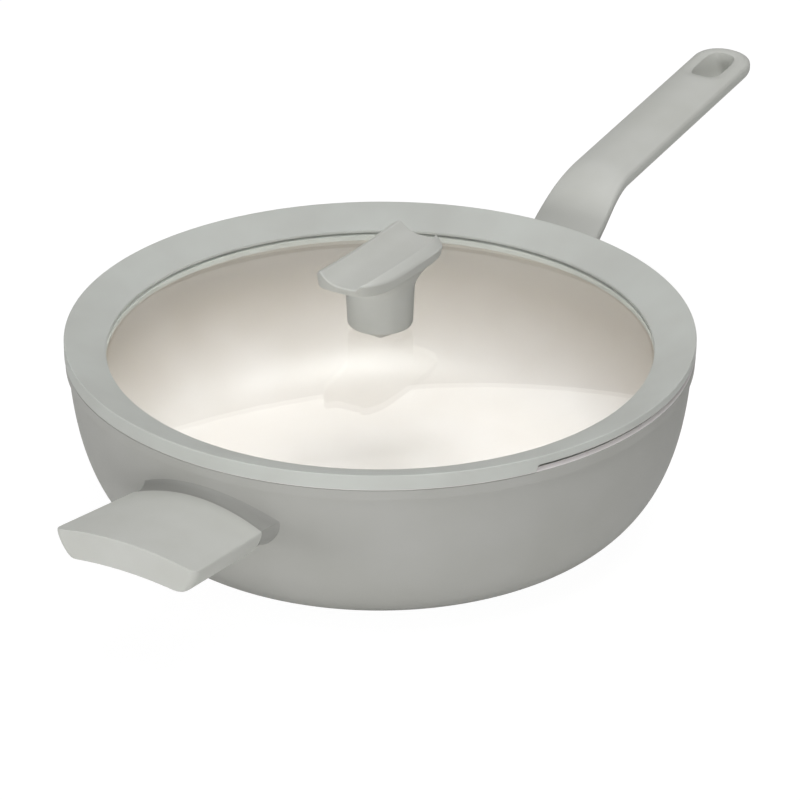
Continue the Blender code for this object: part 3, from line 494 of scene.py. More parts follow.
def moulded_grip(tones):
    """Compression-moulded phenolic with a soft lacquer: an even satin with spark-eroded grain, which
    is really 0.3 mm and drawn at 0.8 mm so that it shows."""
    return grained("soft-touch moulded phenolic", {"IOR": 1.5}, tones, 24.0, 0.8, 2.0, (0.5, 0.6),
                   (0.3, 0.00003))


def moulded_silicone(tones):
    """Compression-moulded silicone rubber: soft sheen, faint flow clouds and a fine tool grain."""
    sockets = {"IOR": 1.41, "Sheen Weight": 0.06, "Sheen Roughness": 0.5}
    return grained("moulded silicone rubber", sockets, tones, 30.0, 1.0, 2.0, (0.55, 0.66),
                   (0.25, 0.00003))


def gasket_silicone(tones):
    """Punched sheet of translucent silicone: pale, soft and slightly milky."""
    sockets = {"IOR": 1.41, "Subsurface Weight": 0.2, "Subsurface Radius": (0.001, 0.001, 0.001)}
    finish, tree, shader, where = start_finish("punched silicone sheet", sockets)
    grain = add_node(tree, "ShaderNodeTexNoise", {"Vector": where, "Scale": per_metre(0.6)})
    factor = add_node(tree, "ShaderNodeMapRange", {0: grain, 1: NOISE_LOW, 2: NOISE_HIGH})
    dress(tree, shader, factor, tones, grain, (0.4, 0.55), (0.2, 0.00002))
    return finish


def ceramic_coating(tones):
    """Sol-gel ceramic sprayed and baked: warm off-white satin with a shallow orange peel
    of about 1.5 mm between its bumps. Its tone follows the height as painted light and shade: palest
    on the rim as a painted highlight, pale on the floor as painted light, and deeper on the wall as
    painted shade."""
    sockets = {"IOR": 1.52, "Coat Weight": 0.25, "Coat Roughness": 0.22}
    finish, tree, shader, where = start_finish("sprayed sol-gel ceramic", sockets)
    cloud = add_node(tree, "ShaderNodeTexNoise", {"Vector": where, "Scale": per_metre(45.0)})
    peel = add_node(tree, "ShaderNodeTexNoise", {"Vector": where, "Scale": per_metre(1.5), "Detail": 1.0})
    level = add_node(tree, "ShaderNodeSeparateXYZ", {0: where}).outputs[2]
    # Share of the pale tone on the floor, painted light there, and the heights where it gives way to the
    # wall's painted shade and where the rim's painted highlight comes in
    floor_share, floor_end, wall_start, wall_end, rim_start = 0.68, 0.018, 0.056, 0.080, 0.084
    floor = add_node(tree, "ShaderNodeMapRange", {0: level, 1: floor_end, 2: wall_start,
                                                  3: floor_share, 4: 0.0})
    rim = add_node(tree, "ShaderNodeMapRange", {0: level, 1: wall_end, 2: rim_start})
    # Share of the pale tone: painted light on the floor, painted highlight on the rim, none on the wall,
    # which keeps the painted shade
    painted_light_share = add_node(tree, "ShaderNodeMath", {0: floor, 1: rim}, operation="MAXIMUM")
    drift = add_node(tree, "ShaderNodeMapRange", {0: cloud, 1: NOISE_LOW, 2: NOISE_HIGH,
                                                  3: -0.1, 4: 0.1})
    factor = add_node(tree, "ShaderNodeMath", {0: painted_light_share, 1: drift}, operation="ADD")
    dress(tree, shader, factor, tones, peel, (0.3, 0.4), (0.2, 0.00002))
    return finish


def tempered_glass(tint):
    """Tempered soda-lime float glass: clear, polished, with a sag wave too shallow to see as a shape.
    An index under the real 1.52 brings the knob's mirror image nearer to the photograph's faint one."""
    sockets = {"IOR": 1.36, "Base Color": linear(tint), "Transmission Weight": 1.0, "Roughness": 0.0}
    finish, tree, shader, where = start_finish("tempered float glass", sockets)
    wave = add_node(tree, "ShaderNodeTexNoise", {"Vector": where, "Scale": per_metre(60.0), "Detail": 0.0})
    relief = add_node(tree, "ShaderNodeBump", {"Height": wave, "Strength": 0.1, "Distance": 0.00005})
    tree.links.new(relief.outputs[0], shader.inputs["Normal"])
    return finish


def brushed_rings(tones):
    """Stainless steel faced on a lathe: fine rings round the axis, seen as a turning sheen. The tool
    marks are really 0.25 mm apart and drawn at 0.7 mm so that they show."""
    finish, tree, shader, where = start_finish("faced stainless steel", {"Metallic": 1.0})
    parts = add_node(tree, "ShaderNodeSeparateXYZ", {0: where}).outputs
    flat = add_node(tree, "ShaderNodeCombineXYZ", {0: parts[0], 1: parts[1]})
    radius = add_node(tree, "ShaderNodeVectorMath", {0: flat}, operation="LENGTH").outputs["Value"]
    line = add_node(tree, "ShaderNodeCombineXYZ", {0: radius})
    rings = add_node(tree, "ShaderNodeTexNoise", {"Vector": line, "Scale": per_metre(0.7),
                                                  "Detail": 3.0, "Roughness": 0.7})
    factor = add_node(tree, "ShaderNodeMapRange", {0: rings, 1: NOISE_LOW, 2: NOISE_HIGH})
    dress(tree, shader, factor, tones, rings, (0.26, 0.42), (0.35, 0.00003))
    return finish


def turned_metal(name, tones):
    """Small turned fastener: bright metal with fine tool marks along its length."""
    finish, tree, shader, where = start_finish(name, {"Metallic": 1.0})
    marks = add_node(tree, "ShaderNodeTexNoise", {"Vector": where, "Scale": per_metre(0.4),
                                                  "Detail": 3.0, "Roughness": 0.7})
    factor = add_node(tree, "ShaderNodeMapRange", {0: marks, 1: NOISE_LOW, 2: NOISE_HIGH})
    dress(tree, shader, factor, tones, marks, (0.25, 0.42), (0.25, 0.00002))
    return finish


# Finishes made so far, by name
FINISHES = {}


def finish_of(name):
    """The finish of that name, made on first use."""
    c = bpy.context.scene.wok.colours
    makers = {
        "paint": lambda: sprayed_paint((c.paint_shade, c.paint)),
        # The brackets' darker paint is painted shade
        "bracket": lambda: sprayed_paint((c.bracket_painted_shade, c.bracket)),
        "grip": lambda: moulded_grip((c.grip_shade, c.grip)),
        "silicone": lambda: moulded_silicone((c.silicone_shade, c.silicone)),
        "gasket": lambda: gasket_silicone((c.gasket, c.silicone)),
        # The coating's tones change with height as painted light and shade
        "ceramic": lambda: ceramic_coating((c.ceramic_painted_shade, c.ceramic)),
        "glass": lambda: tempered_glass(c.glass),
        "base": lambda: brushed_rings((c.aluminium, c.steel)),
        "screw": lambda: turned_metal("turned stainless steel", (c.aluminium, c.steel)),
        "stud": lambda: turned_metal("turned aluminium", (c.steel, c.aluminium)),
        "brass": lambda: turned_metal("turned brass", (c.brass, c.brass)),
    }
    if name not in FINISHES:
        FINISHES[name] = makers[name]()
    return FINISHES[name]


# The pan

def wall_curve(pan, count, offset=0.0, floor_offset=None):
    """Radius and height along the wall from base to rim. It is a cubic Bezier curve with one handle
    along the base and one down the leaning wall, moved square to itself by an offset that runs
    evenly from the floor's to the wall's."""
    t = np.linspace(0.0, 1.0, count)[:, None]
    start = np.array([pan.base_radius, pan.clearance])
    end = np.array([pan.rim_radius - pan.overhang, pan.height - pan.band])
    first = start + np.array([pan.base_sweep, 0.0])
    second = end - pan.wall_sweep * np.array([math.cos(pan.lean), math.sin(pan.lean)])
    s = 1.0 - t
    point = s ** 3 * start + 3 * s * s * t * first + 3 * s * t * t * second + t ** 3 * end
    along = 3 * s * s * (first - start) + 6 * s * t * (second - first) + 3 * t * t * (end - second)
    along /= np.linalg.norm(along, axis=1, keepdims=True)
    square = np.stack([along[:, 1], -along[:, 0]], 1)
    moved = offset if floor_offset is None else floor_offset + (offset - floor_offset) * t
    return point + moved * square


def inside_curve(pan, extra, top, count=72):
    """Profile of the pan's inside from the floor's middle to the mouth, set in by extra."""
    floor_top = pan.disc_thickness + GAP + pan.floor - pan.clearance
    wall = wall_curve(pan, count, -pan.wall - extra, -floor_top - extra)
    middle = np.array([[0.0, wall[0, 1]]])
    mouth = np.array([[wall[-1, 0], top]])
    return np.vstack([middle, wall, mouth])


def rim_top(pan):
    """Mouth, two ends of the flat crest and outer edge of the metal rim's top, a gap under the
    coating's. The lid's rim sits on the slope between the crest and the outer edge."""
    mouth = float(inside_curve(pan, 0.0, 0.0)[-1, 0])
    top = pan.height + pan.rim_rise - GAP
    outer = pan.rim_radius - GAP
    return [
        (mouth, top - pan.lip_fall),
        (mouth + pan.lip_inset, top),
        (outer - pan.cone, top),
        (outer, top - pan.cone_fall),
    ]


def pan_profile(pan):
    """Profile of the cast pan, from the floor's middle over the rim and down to the recess."""
    mouth, crest, slope, edge = rim_top(pan)
    wall_top = pan.height - pan.band
    band_foot = pan.rim_radius - pan.overhang
    under_band = wall_top - 2.0 * GAP
    inside = inside_curve(pan, 0.0, mouth[1] - STEP)
    rim = [
        (mouth[0], mouth[1] - STEP),
        mouth,
        crest,
        slope,
        edge,
        (pan.rim_radius, edge[1] - STEP),
        (pan.rim_radius - GAP, wall_top + STEP),
        (band_foot, wall_top),
        (band_foot, under_band),
    ]
    corners = rounded(rim, [0.0, 0.0003, 0.0003, 0.0003, 0.0001, 0.0001, 0.0003, 0.0002, 0.0])
    outside = wall_curve(pan, 96)[:-1][::-1]
    recess = pan.disc_radius + GAP
    top = pan.disc_thickness + GAP
    base = rounded([(recess, pan.clearance), (recess, top), (0.0, top)], [0.0003, 0.0, 0.0])
    return np.vstack([inside[:-1], corners, outside[outside[:, 1] < under_band], base])


def coat_profile(pan):
    """Closed profile of the ceramic coating: its face up to the mouth and out over the rim's top, and
    its back down again, a fifth of the gap over the metal."""
    mouth, crest, slope, edge = [np.array(point) for point in rim_top(pan)]
    up = np.array([0.0, GAP])
    skin, hair = 0.2 * up, 0.00005
    face = inside_curve(pan, GAP + pan.coat, mouth[1] - STEP)
    back = inside_curve(pan, GAP, mouth[1] - STEP)
    over = rounded([face[-1], (face[-1, 0], mouth[1]), crest + up, slope + up, edge + up, edge + skin],
                   [0.0, 0.0003, 0.0004, 0.0003, 0.0001, 0.0])
    under = [edge + skin, slope + skin, crest + skin, (back[-1, 0], mouth[1] + hair)]
    return np.vstack([face[:-1], over, under, back[::-1]])


def disc_profile(pan):
    """Profile of the base disc: flat back, rolled edge and shallow rings turned into its face."""
    pitch, groove_depth, groove_share = 0.011, 0.00035, 0.14
    inner_margin, outer_margin, edge_width = 0.012, 0.006, 0.0008
    radius = np.linspace(pan.disc_radius - edge_width, 0.0, 420)
    wave = np.abs(((pan.disc_radius - radius) / pitch) % 1.0 - 0.5) * 2.0
    inside = (radius < pan.disc_radius - outer_margin) & (radius > inner_margin)
    groove = np.where(inside, groove_depth * eased((wave - 1.0 + groove_share) / groove_share), 0.0)
    edge = rounded([(0.0, pan.disc_thickness), (pan.disc_radius, pan.disc_thickness),
                    (pan.disc_radius, 0.0), (radius[1], 0.0)], [0.0, 0.0002, 0.0005, 0.0])
    return np.vstack([edge, np.stack([radius, groove], 1)])


class WOK_OT_pan(bpy.types.Operator):
    """Cast pan, ceramic coating and steel base disc"""
    bl_idname = "wok.pan"
    bl_label = "Pan, coating and base disc"

    def execute(self, context):
        wok = context.scene.wok
        steps = wok.studio.steps
        shell, coat, disc = [turned(profile(wok.pan), steps)
                             for profile in (pan_profile, coat_profile, disc_profile)]
        make_piece("pan_shell", [shell], "paint", "pan", ["pan_body"])
        make_piece("ceramic_coat", [coat], "ceramic", "pan", ["ceramic_lining"])
        make_piece("base_disc", [disc], "base", "pan", ["induction_plate"])
        return {"FINISHED"}


# The lid

def dome_height(lid, radius, below=0.0):
    """Height of the dome: a sphere's cap that falls by the lid's rise at the rim's inner edge."""
    reach = lid.radius - lid.rim_width
    curve = (reach ** 2 + lid.rise ** 2) / (2.0 * lid.rise)
    return lid.glass_top - below - curve + np.sqrt(curve ** 2 - radius ** 2)


def glass_profile(lid):
    """Closed profile of the dome, with ground edges at its rim and its hole."""
    cut = 0.0006
    radius = np.linspace(lid.hole, lid.glass_radius, 64)
    top = np.stack([radius, dome_height(lid, radius)], 1)
    under = np.stack([radius, dome_height(lid, radius, lid.glass)], 1)
    top[[0, -1], 1] -= cut
    under[[0, -1], 1] += cut
    near, far = [np.array([[r, dome_height(lid, r)]]) for r in (lid.hole + cut, lid.glass_radius - cut)]
    drop = np.array([0.0, -lid.glass])
    return np.vstack([top[:1], near, top[1:-1], far, top[-1:], under[-1:], far + drop,
                      under[1:-1][::-1], near + drop, under[:1], top[:1]])


# The notch's middle faces -Y
NOTCH_MIDDLE = 1.5 * math.pi


def notch_turns(lid, steps):
    """Angles round the rim, with extra ones where the notch's ends are rounded."""
    reach = 0.02
    even = np.linspace(0.0, 2.0 * np.pi, steps + 1)
    close = np.linspace(-reach, reach, 49)
    ends = [NOTCH_MIDDLE - lid.notch_angle + close, NOTCH_MIDDLE + lid.notch_angle + close]
    return np.unique(np.round(np.concatenate([even, *ends]), 7))


def notch_share(lid, turns):
    """How far the notch is open at each angle: 0 outside it, 1 within it, and a quarter circle in
    between where its ends are rounded."""
    rounding = lid.notch_height * 0.6
    inside = (lid.notch_angle - np.abs(turns - NOTCH_MIDDLE)) * lid.radius
    into = np.clip(inside / rounding, 0.0, 1.0)
    return np.sqrt(1.0 - (1.0 - into) ** 2)


def rim_grid(lid, steps):
    """Points of the silicone rim: a rounded profile carried round Z. In the notch the rim's underside
    rises, and so does the step in front of the plug."""
    over_glass, skirt_width, groove_wall, thinning = 0.0001, 0.0018, 0.002, 0.0008
    turns = notch_turns(lid, steps)
    open_share = notch_share(lid, turns)
    inner = lid.radius - lid.rim_width
    groove = lid.groove_radius
    top = lid.seat + lid.rim_height
    underside = lid.seat + lid.seat_rise
    glass_under = float(dome_height(lid, inner, lid.glass + GAP))
    plug_z = lid.seat - lid.plug_depth
    corners = np.array([
        (inner, float(dome_height(lid, inner)) + over_glass),
        (inner, top - lid.dish),
        (lid.radius, top),
        (lid.radius, lid.seat - lid.skirt_drop),
        (lid.radius - skirt_width, underside),
        (lid.plug_radius, underside),
        (lid.plug_radius, plug_z),
        (groove - groove_wall, plug_z),
        (inner, glass_under - lid.inner_side),
        (inner, glass_under),
        (groove, float(dome_height(lid, groove, lid.glass + GAP))),
        (groove, float(dome_height(lid, groove)) + over_glass),
    ])
    cuts = [0.0001, 0.0007, lid.edge, 0.0002, 0.0004, 0.0005, 0.001, 0.001, 0.0008, 0.0002, 0.0, 0.0]
    rise = np.zeros((len(turns), len(corners), 2))
    rise[:, 3:6, 1] = lid.notch_height * open_share[:, None]
    rise[:, 4:6, 1] -= thinning * open_share[:, None]
    rise[:, 5:7, 0] = (lid.radius - lid.notch_depth - lid.plug_radius) * open_share[:, None]
    return carried(closed([rounded(corners + r, cuts) for r in rise]), turns)


class WOK_OT_lid(bpy.types.Operator):
    """Domed glass and the silicone rim with its strainer notch"""
    bl_idname = "wok.lid"
    bl_label = "Glass and silicone rim"

    def execute(self, context):
        wok = context.scene.wok
        steps = wok.studio.steps
        glass = turned(glass_profile(wok.lid), steps)
        dome = make_piece("glass_dome", [glass], "glass", "lid", ["lid_glass"])
        # The light reaches the inside evenly through the glass
        dome.visible_shadow = False
        rim = rim_grid(wok.lid, steps)
        make_piece("silicone_rim", [rim], "silicone", "lid", ["lid_rim"])
        return {"FINISHED"}


# The knob

def knob_outline(half_length, half_width, square, knob, count=320):
    """Evenly spaced outline of the knob at one height. It is a superellipse: a circle where square is
    0, with the plate's own corners where square is 1."""
    turn = np.linspace(0.0, 2.0 * np.pi, 4096, endpoint=False)
    c, s = np.cos(turn), np.sin(turn)
    front = np.where(c > 0.0, knob.far_corner, knob.near_corner)
    corner = 2.0 + (np.where(s > 0.0, knob.rear_corner, front) - 2.0) * square
    reach = half_length - np.where(c < 0.0, knob.near_cut * square, 0.0)
    x = reach * np.sign(c) * np.abs(c) ** (2.0 / corner)
    y = half_width * np.sign(s) * np.abs(s) ** (2.0 / corner)
    return even_ring(np.stack([x, y], 1), count)


def knob_top(knob, x, y):
    """Height of the plate's top. Behind the lip it is a trough whose floor curls up a little at the
    lip, runs level and then sweeps up to the sagging crest, both as power curves. Behind the crest it
    falls away as a parabola. The lip in front slopes down to the edge, and its inner edge bows across
    the plate as a superellipse. Towards its ends the lip sinks as power curves, most over the helper
    handle, where it lies flat."""
    sweep_power, curl_power, bow_power, bow_blunt, lip_power = 2.2, 5, 2.6, 0.313, 1.2
    lip_width, step_start, step_width = 0.004, 0.0009, 0.0012
    end = np.clip(np.abs(x) / knob.half_length, 0.0, 1.0)
    near = np.clip(-x / knob.half_length, 0.0, 1.0)
    far = np.clip(x / knob.half_length, 0.0, 1.0)
    floor = knob.top - knob.trough
    crest = knob.top - knob.sag * (1.0 - end ** 2)
    swept = np.clip((y - knob.trough_back) / (knob.crest - knob.trough_back), 0.0, 1.0)
    behind = np.clip((y - knob.crest) / (knob.half_width - knob.crest), 0.0, 1.0)
    ahead = np.clip((knob.trough_back - y) / (knob.trough_back + knob.lip_reach), 0.0, 1.0)
    trough = floor + (crest - floor) * swept ** sweep_power - knob.shoulder * behind ** 2
    trough = trough + knob.trough_front * ahead ** curl_power
    reach = np.where(x < 0.0, knob.lip_near, knob.lip_far)
    bow = -knob.lip_reach * np.maximum(1.0 - (np.abs(x) / reach) ** bow_power, 0.0) ** bow_blunt
    out = np.clip((bow - y) / lip_width, 0.0, 1.0)
    sink = knob.near_sink * near ** 4 + knob.far_sink * far ** 3
    lip = knob.top - knob.lip_top - sink - knob.lip_drop * (1.0 - near ** 3) * out ** lip_power
    return trough + (lip - trough) * eased((bow + step_start - y) / step_width)


def knob_grid(knob):
    """Points of the knob as a stack of rings: out over the foot and its rounded edge, up the stem, out
    along the flare, up the side, over a rounded edge and in across the top to its middle."""
    foot, bevel, stem, edge = knob.foot_radius, knob.foot_bevel, knob.stem_radius, knob.edge
    draw, flare_power, widening_power = 0.0005, 2.4, 1.5
    under = knob.half_length - knob.rake
    under_half = knob.half_width - draw
    start = knob.plate - knob.flare
    quarter = np.linspace(0.0, np.pi / 2.0, 7)
    flat = knob_outline(1.0, 1.0, 0.0, knob)
    rings = [ring(flat * radius, knob.foot) for radius in np.linspace(0.0, foot - bevel, 5)[:-1]]
    for turn in quarter:
        radius = foot - bevel * (1.0 - math.sin(turn))
        rings.append(ring(flat * radius, knob.foot + bevel * (1.0 - math.cos(turn))))
    for part in np.linspace(0.0, 1.0, 12)[1:]:
        level = knob.foot + bevel + (start - knob.foot - bevel) * part
        rings.append(ring(flat * (foot + (stem - foot) * part), level))
    for part in np.linspace(0.0, 1.0, 26)[1:]:
        bulge = 1.0 - math.sqrt(max(1.0 - part ** flare_power, 0.0))
        half = stem + (under_half - stem) * part ** widening_power
        outline = knob_outline(stem + (under - stem) * bulge, half, bulge, knob)
        rings.append(ring(outline, start + knob.flare * part))
    for turn in quarter[1:]:
        grow = draw * math.sin(turn)
        outline = knob_outline(under + grow, under_half + grow, 1.0, knob)
        rings.append(ring(outline, knob.plate + edge * (1.0 - math.cos(turn))))
    full = knob_outline(knob.half_length, knob.half_width, 1.0, knob)
    side_top = ring(full, knob_top(knob, *full.T) - edge)
    last = rings[-1]
    for part in np.linspace(0.0, 1.0, 9)[1:]:
        rings.append(last + (side_top - last) * part)
    for turn in quarter[1:]:
        inset = edge * (1.0 - math.cos(turn))
        outline = knob_outline(knob.half_length - inset, knob.half_width - inset, 1.0, knob)
        rings.append(ring(outline, knob_top(knob, *outline.T) - edge * (1.0 - math.sin(turn))))
    last = rings[-1][:, :2]
    for scale in np.linspace(1.0, 0.0, 110)[1:]:
        rings.append(ring(last * scale, knob_top(knob, *(last * scale).T)))
    return closed(rings)


class WOK_OT_knob(bpy.types.Operator):
    """Knob with its spoon trough"""
    bl_idname = "wok.knob"
    bl_label = "Knob"

    def execute(self, context):
        grid = knob_grid(context.scene.wok.knob)
        make_piece("knob_body", [grid], "grip", "lid", ["knob_grip"], sharp=50.0)
        return {"FINISHED"}


# The handles

def corner_loss(x, end, radius):
    """What a rounded plan corner takes off the half width: the radius less the circle's height."""
    into = np.clip(x - (end - radius), 0.0, radius)
    return radius - np.sqrt(np.maximum(radius ** 2 - into ** 2, 0.0))


def plan_distance(x, y, half, end, corner):
    """Distance in plan from a point to the grip's outline: to its side, to its end, or to the circle
    of its rounded corner."""
    y = np.abs(y)
    into = x - (end - corner)
    over = y - (half - corner)
    round_corner = corner - np.hypot(np.maximum(into, 0.0), np.maximum(over, 0.0))
    side = half - y
    return np.maximum(np.where((into > 0.0) | (over > 0.0), np.minimum(side, round_corner), side), 0.0)


def dropped_edge(distance, radius):
    """Drop of a quarter-round edge at a distance from the outline."""
    short = np.clip(radius - distance, 0.0, radius)
    return radius - np.sqrt(np.maximum(radius ** 2 - short ** 2, 0.0))


def hull_rise(distance, reach, depth, power):
    """Height of the hull over its keel: none further in than its reach, and up to depth at the outline
    along a superellipse, which is a straight line for a power of 1 and an ellipse for 2."""
    out = np.clip(1.0 - distance / reach, 0.0, 1.0)
    return depth * (1.0 - np.maximum(1.0 - out ** power, 0.0) ** (1.0 / power))


def long_plan(grip, x):
    """Half width of the long handle, as if its end were square."""
    along = (x - grip.root - grip.taper_start) / (grip.taper_end - grip.taper_start)
    return grip.root_half + (grip.half - grip.root_half) * eased(along)


def long_edge(grip, x):
    """Height of the long handle's upper edges: two straight slopes joined by a parabola."""
    steep, gentle = math.tan(grip.rise), math.tan(grip.slope)
    bend = grip.root_height + grip.bend * steep
    ahead = x - grip.root - grip.bend
    into = np.clip(ahead + grip.ease, 0.0, 2.0 * grip.ease)
    curve = bend - grip.ease * steep + into * steep + (gentle - steep) * into ** 2 / (4.0 * grip.ease)
    past = np.where(ahead < -grip.ease, (ahead + grip.ease) * steep, 0.0)
    past = past + np.where(ahead > grip.ease, (ahead - grip.ease) * gentle, 0.0)
    return curve + past


def hole_distance(grip, x, y):
    """Distance outside the hanging hole, a superellipse: its level less 1, over its steepness."""
    u = np.abs(x - grip.hole_middle) / grip.hole_half_length
    v = np.abs(y) / grip.hole_half_width
    n = grip.hole_square
    level = np.maximum((u ** n + v ** n) ** (1.0 / n), 1e-6)
    steep = np.hypot((u / level) ** (n - 1.0) / grip.hole_half_length,
                     (v / level) ** (n - 1.0) / grip.hole_half_width)
    return (level - 1.0) / np.maximum(steep, 1e-6)


def long_top(grip, x, y):
    """Height of the long handle's top: crowned across, rounded at the outline and dished round the
    hole with a power curve."""
    half = long_plan(grip, x)
    loss = corner_loss(x, grip.end, grip.corner)
    real_half = half - loss
    crown = grip.crown * np.clip((grip.half - loss) / grip.half, 0.0, 1.0) ** 2
    across = np.clip(np.abs(y) / np.maximum(real_half, 1e-6), 0.0, 1.0)
    top = long_edge(grip, x) + crown * (1.0 - across ** 2)
    edge = dropped_edge(plan_distance(x, y, half, grip.end, grip.corner), grip.edge)
    dish_power = 1.4
    dish = np.clip(1.0 - hole_distance(grip, x, y) / grip.dish_width, 0.0, 1.0) ** dish_power
    return top - edge - grip.dish_depth * dish


def long_under(grip, x, y):
    """Height of the long handle's underside: upright side, then a hull that turns in to the keel."""
    half = long_plan(grip, x)
    share_out = eased((x - grip.root) / grip.taper_end)
    side = grip.root_side + (grip.side - grip.root_side) * share_out
    depth = grip.root_depth + (grip.depth - grip.root_depth) * share_out
    distance = plan_distance(x, y, half, grip.end, grip.corner)
    rise = hull_rise(distance, half * (1.0 - grip.keel), depth - side, power=1.6)
    return long_edge(grip, x) - depth + rise


def hole_half_at(grip, x):
    """Half width of the hanging hole at a distance along the handle, and 0 outside it."""
    u = np.clip(np.abs(x - grip.hole_middle) / grip.hole_half_length, 0.0, 1.0)
    return grip.hole_half_width * (1.0 - u ** grip.hole_square) ** (1.0 / grip.hole_square)


def hole_stations(grip):
    """Distances of the sections through the hole, close together where its ends turn."""
    turn = np.linspace(0.0, np.pi / 2.0, 600)
    n = 2.0 / grip.hole_square
    x = grip.hole_half_length * np.cos(turn) ** n
    y = grip.hole_half_width * np.sin(turn) ** n
    run = run_along(np.stack([x, y], 1))
    reach = np.interp(np.linspace(0.0, run[-1], 34), run, x)
    return np.concatenate([grip.hole_middle - reach, grip.hole_middle + reach[::-1]])


def long_stations(grip):
    """Distances of all the long handle's sections."""
    holes = hole_stations(grip)
    before = np.linspace(grip.root, holes[0], 120)
    after = holes[-1] + (grip.end - holes[-1]) * far_end(26)
    stations = np.concatenate([before, holes, after])
    keep = np.concatenate([[True], np.diff(stations) > 1e-7])
    return stations[keep]


def slab(top, under, x, inner, outer, draft=0.0, rows=34, walls=4):
    """Grids of a body between two heights over a plan that is the same on both sides of the middle.
    Each section runs from an inner edge to the outline, so the plan may have a hole in it, which
    draft makes narrower below. The sides, the hole's wall and the two end faces are straight lines
    between the heights."""
    w = both_ends(rows)[None, :]
    y = inner[:, None] + (outer - inner)[:, None] * w
    low_inner = inner[:, None] * (1.0 - draft)
    low_y = low_inner + (outer[:, None] - low_inner) * w
    along = np.broadcast_to(x[:, None], y.shape)
    level = np.linspace(0.0, 1.0, walls + 1)
    hole = np.flatnonzero(inner > 0.0)
    grids = []
    for mirror in (1.0, -1.0):
        upper = np.stack([along, mirror * y, top(along, y)], -1)
        lower = np.stack([along, mirror * low_y, under(along, low_y)], -1)
        grids += [upper, lower, between(upper[:, -1], lower[:, -1], level)]
        if len(hole):
            grids.append(between(upper[:, 0], lower[:, 0], level)[hole[0] - 1:hole[-1] + 2])
        grids += [between(upper[end], lower[end], level) for end in (0, -1)]
    return grids


def wall_radius(pan, z):
    """Radius of the pan's outside at a height."""
    curve = wall_curve(pan, 400)
    return np.interp(z, curve[:, 1], curve[:, 0])


def section_ring(half, edge, crown, side, depth, power, count=128):
    """Evenly spaced ring of a bracket's section as across and height: crowned top, short sides and a
    superellipse as hull."""
    y = np.linspace(half, -half, 60)
    top = np.stack([y, edge + crown * (1.0 - (y / half) ** 2)], 1)
    turn = np.linspace(np.pi, 0.0, 90)
    across = half * np.sign(np.cos(turn)) * np.abs(np.cos(turn)) ** (2.0 / power)
    down = edge - side - (depth - side) * np.abs(np.sin(turn)) ** (2.0 / power)
    return even_ring(np.vstack([top, np.stack([across, down], 1)]), count)


def on_wall(pan, section):
    """Ring of across and height set on the pan's wall on the +X side, sunk a little into it."""
    sunk = 0.0004
    radius = wall_radius(pan, section[:, 1])
    return np.column_stack([np.sqrt(radius ** 2 - section[:, 0] ** 2) - sunk, section])


def bracket_grid(pan, bracket, root, neck, foot):
    """Points of a bracket: rings from the grip's root to the wall, whose section goes from the neck's
    to the foot's with a power curve and flares out in a fillet of a quarter circle at the wall. The
    foot is closed by rings that shrink along the wall, and the neck by a flat end."""
    neck, foot = np.array(neck), np.array(foot)
    fillet = bracket.fillet
    fillet_length, section_power = 0.016, 1.5
    # How much the fillet adds to the half width, edge, crown, side, depth and power of the section
    growth = np.array([0.3, 0.3, 0.4, 0.0, 0.8, 0.0])
    rings = []
    for part in far_end(40):
        near = max(fillet - (1.0 - part) * fillet_length, 0.0)
        flare = growth * (fillet - math.sqrt(fillet ** 2 - near ** 2))
        section = section_ring(*(neck + (foot - neck) * part ** section_power + flare))
        wall = on_wall(pan, section)
        wall[:, 0] = root - GAP + (wall[:, 0] - root + GAP) * part
        rings.append(wall)
    middle = section.mean(0)
    rings += [on_wall(pan, middle + (section - middle) * scale) for scale in (0.8, 0.6, 0.4, 0.2, 0.0)]
    return closed([np.repeat(rings[0].mean(0, keepdims=True), len(rings[0]), 0), *rings])


def turned_round(grids):
    """Grids turned half round Z, to the helper handle's side."""
    return [grid * np.array([-1.0, -1.0, 1.0]) for grid in grids]


class WOK_OT_long_handle(bpy.types.Operator):
    """Long handle with its hanging hole, and its bracket"""
    bl_idname = "wok.long_handle"
    bl_label = "Long handle and bracket"

    def execute(self, context):
        wok = context.scene.wok
        grip = wok.grip
        x = long_stations(grip)
        outer = long_plan(grip, x) - corner_loss(x, grip.end, grip.corner)
        grids = slab(partial(long_top, grip), partial(long_under, grip), x, hole_half_at(grip, x),
                     outer, grip.draft)
        make_piece("long_grip", grids, "grip", "pan", ["long_handle"])
        bracket = wok.bracket
        inset = bracket.inset
        # Half width, edge, crown, side, depth and power of the section at either end
        shared = (grip.root_height - inset, grip.crown, grip.root_side)
        neck = (grip.root_half - inset, *shared, grip.root_depth - 2.0 * inset, 3.0)
        foot = (bracket.long_half, *shared, bracket.long_depth, 2.6)
        grid = bracket_grid(wok.pan, bracket, grip.root, neck, foot)
        make_piece("long_bracket", [grid], "bracket", "pan", ["long_handle_bracket"])
        return {"FINISHED"}


def helper_half_at(helper, x):
    """Half width of the helper handle, as if its corners were square."""
    part = (x - helper.root) / (helper.end - helper.root)
    return helper.root_half + (helper.half - helper.root_half) * part


def helper_top(helper, x, y):
    """Height of the helper handle's top: crowned across, higher at the root, with crisp edges."""
    part = (x - helper.root) / (helper.end - helper.root)
    crown = helper.root_crown + (helper.crown - helper.root_crown) * part
    half = helper_half_at(helper, x)
    edge_z = helper.root_height + (x - helper.root) * math.tan(helper.slope)
    drop = dropped_edge(plan_distance(x, y, half, helper.end, helper.corner), helper.edge)
    return edge_z + crown * (1.0 - (y / half) ** 2) - drop


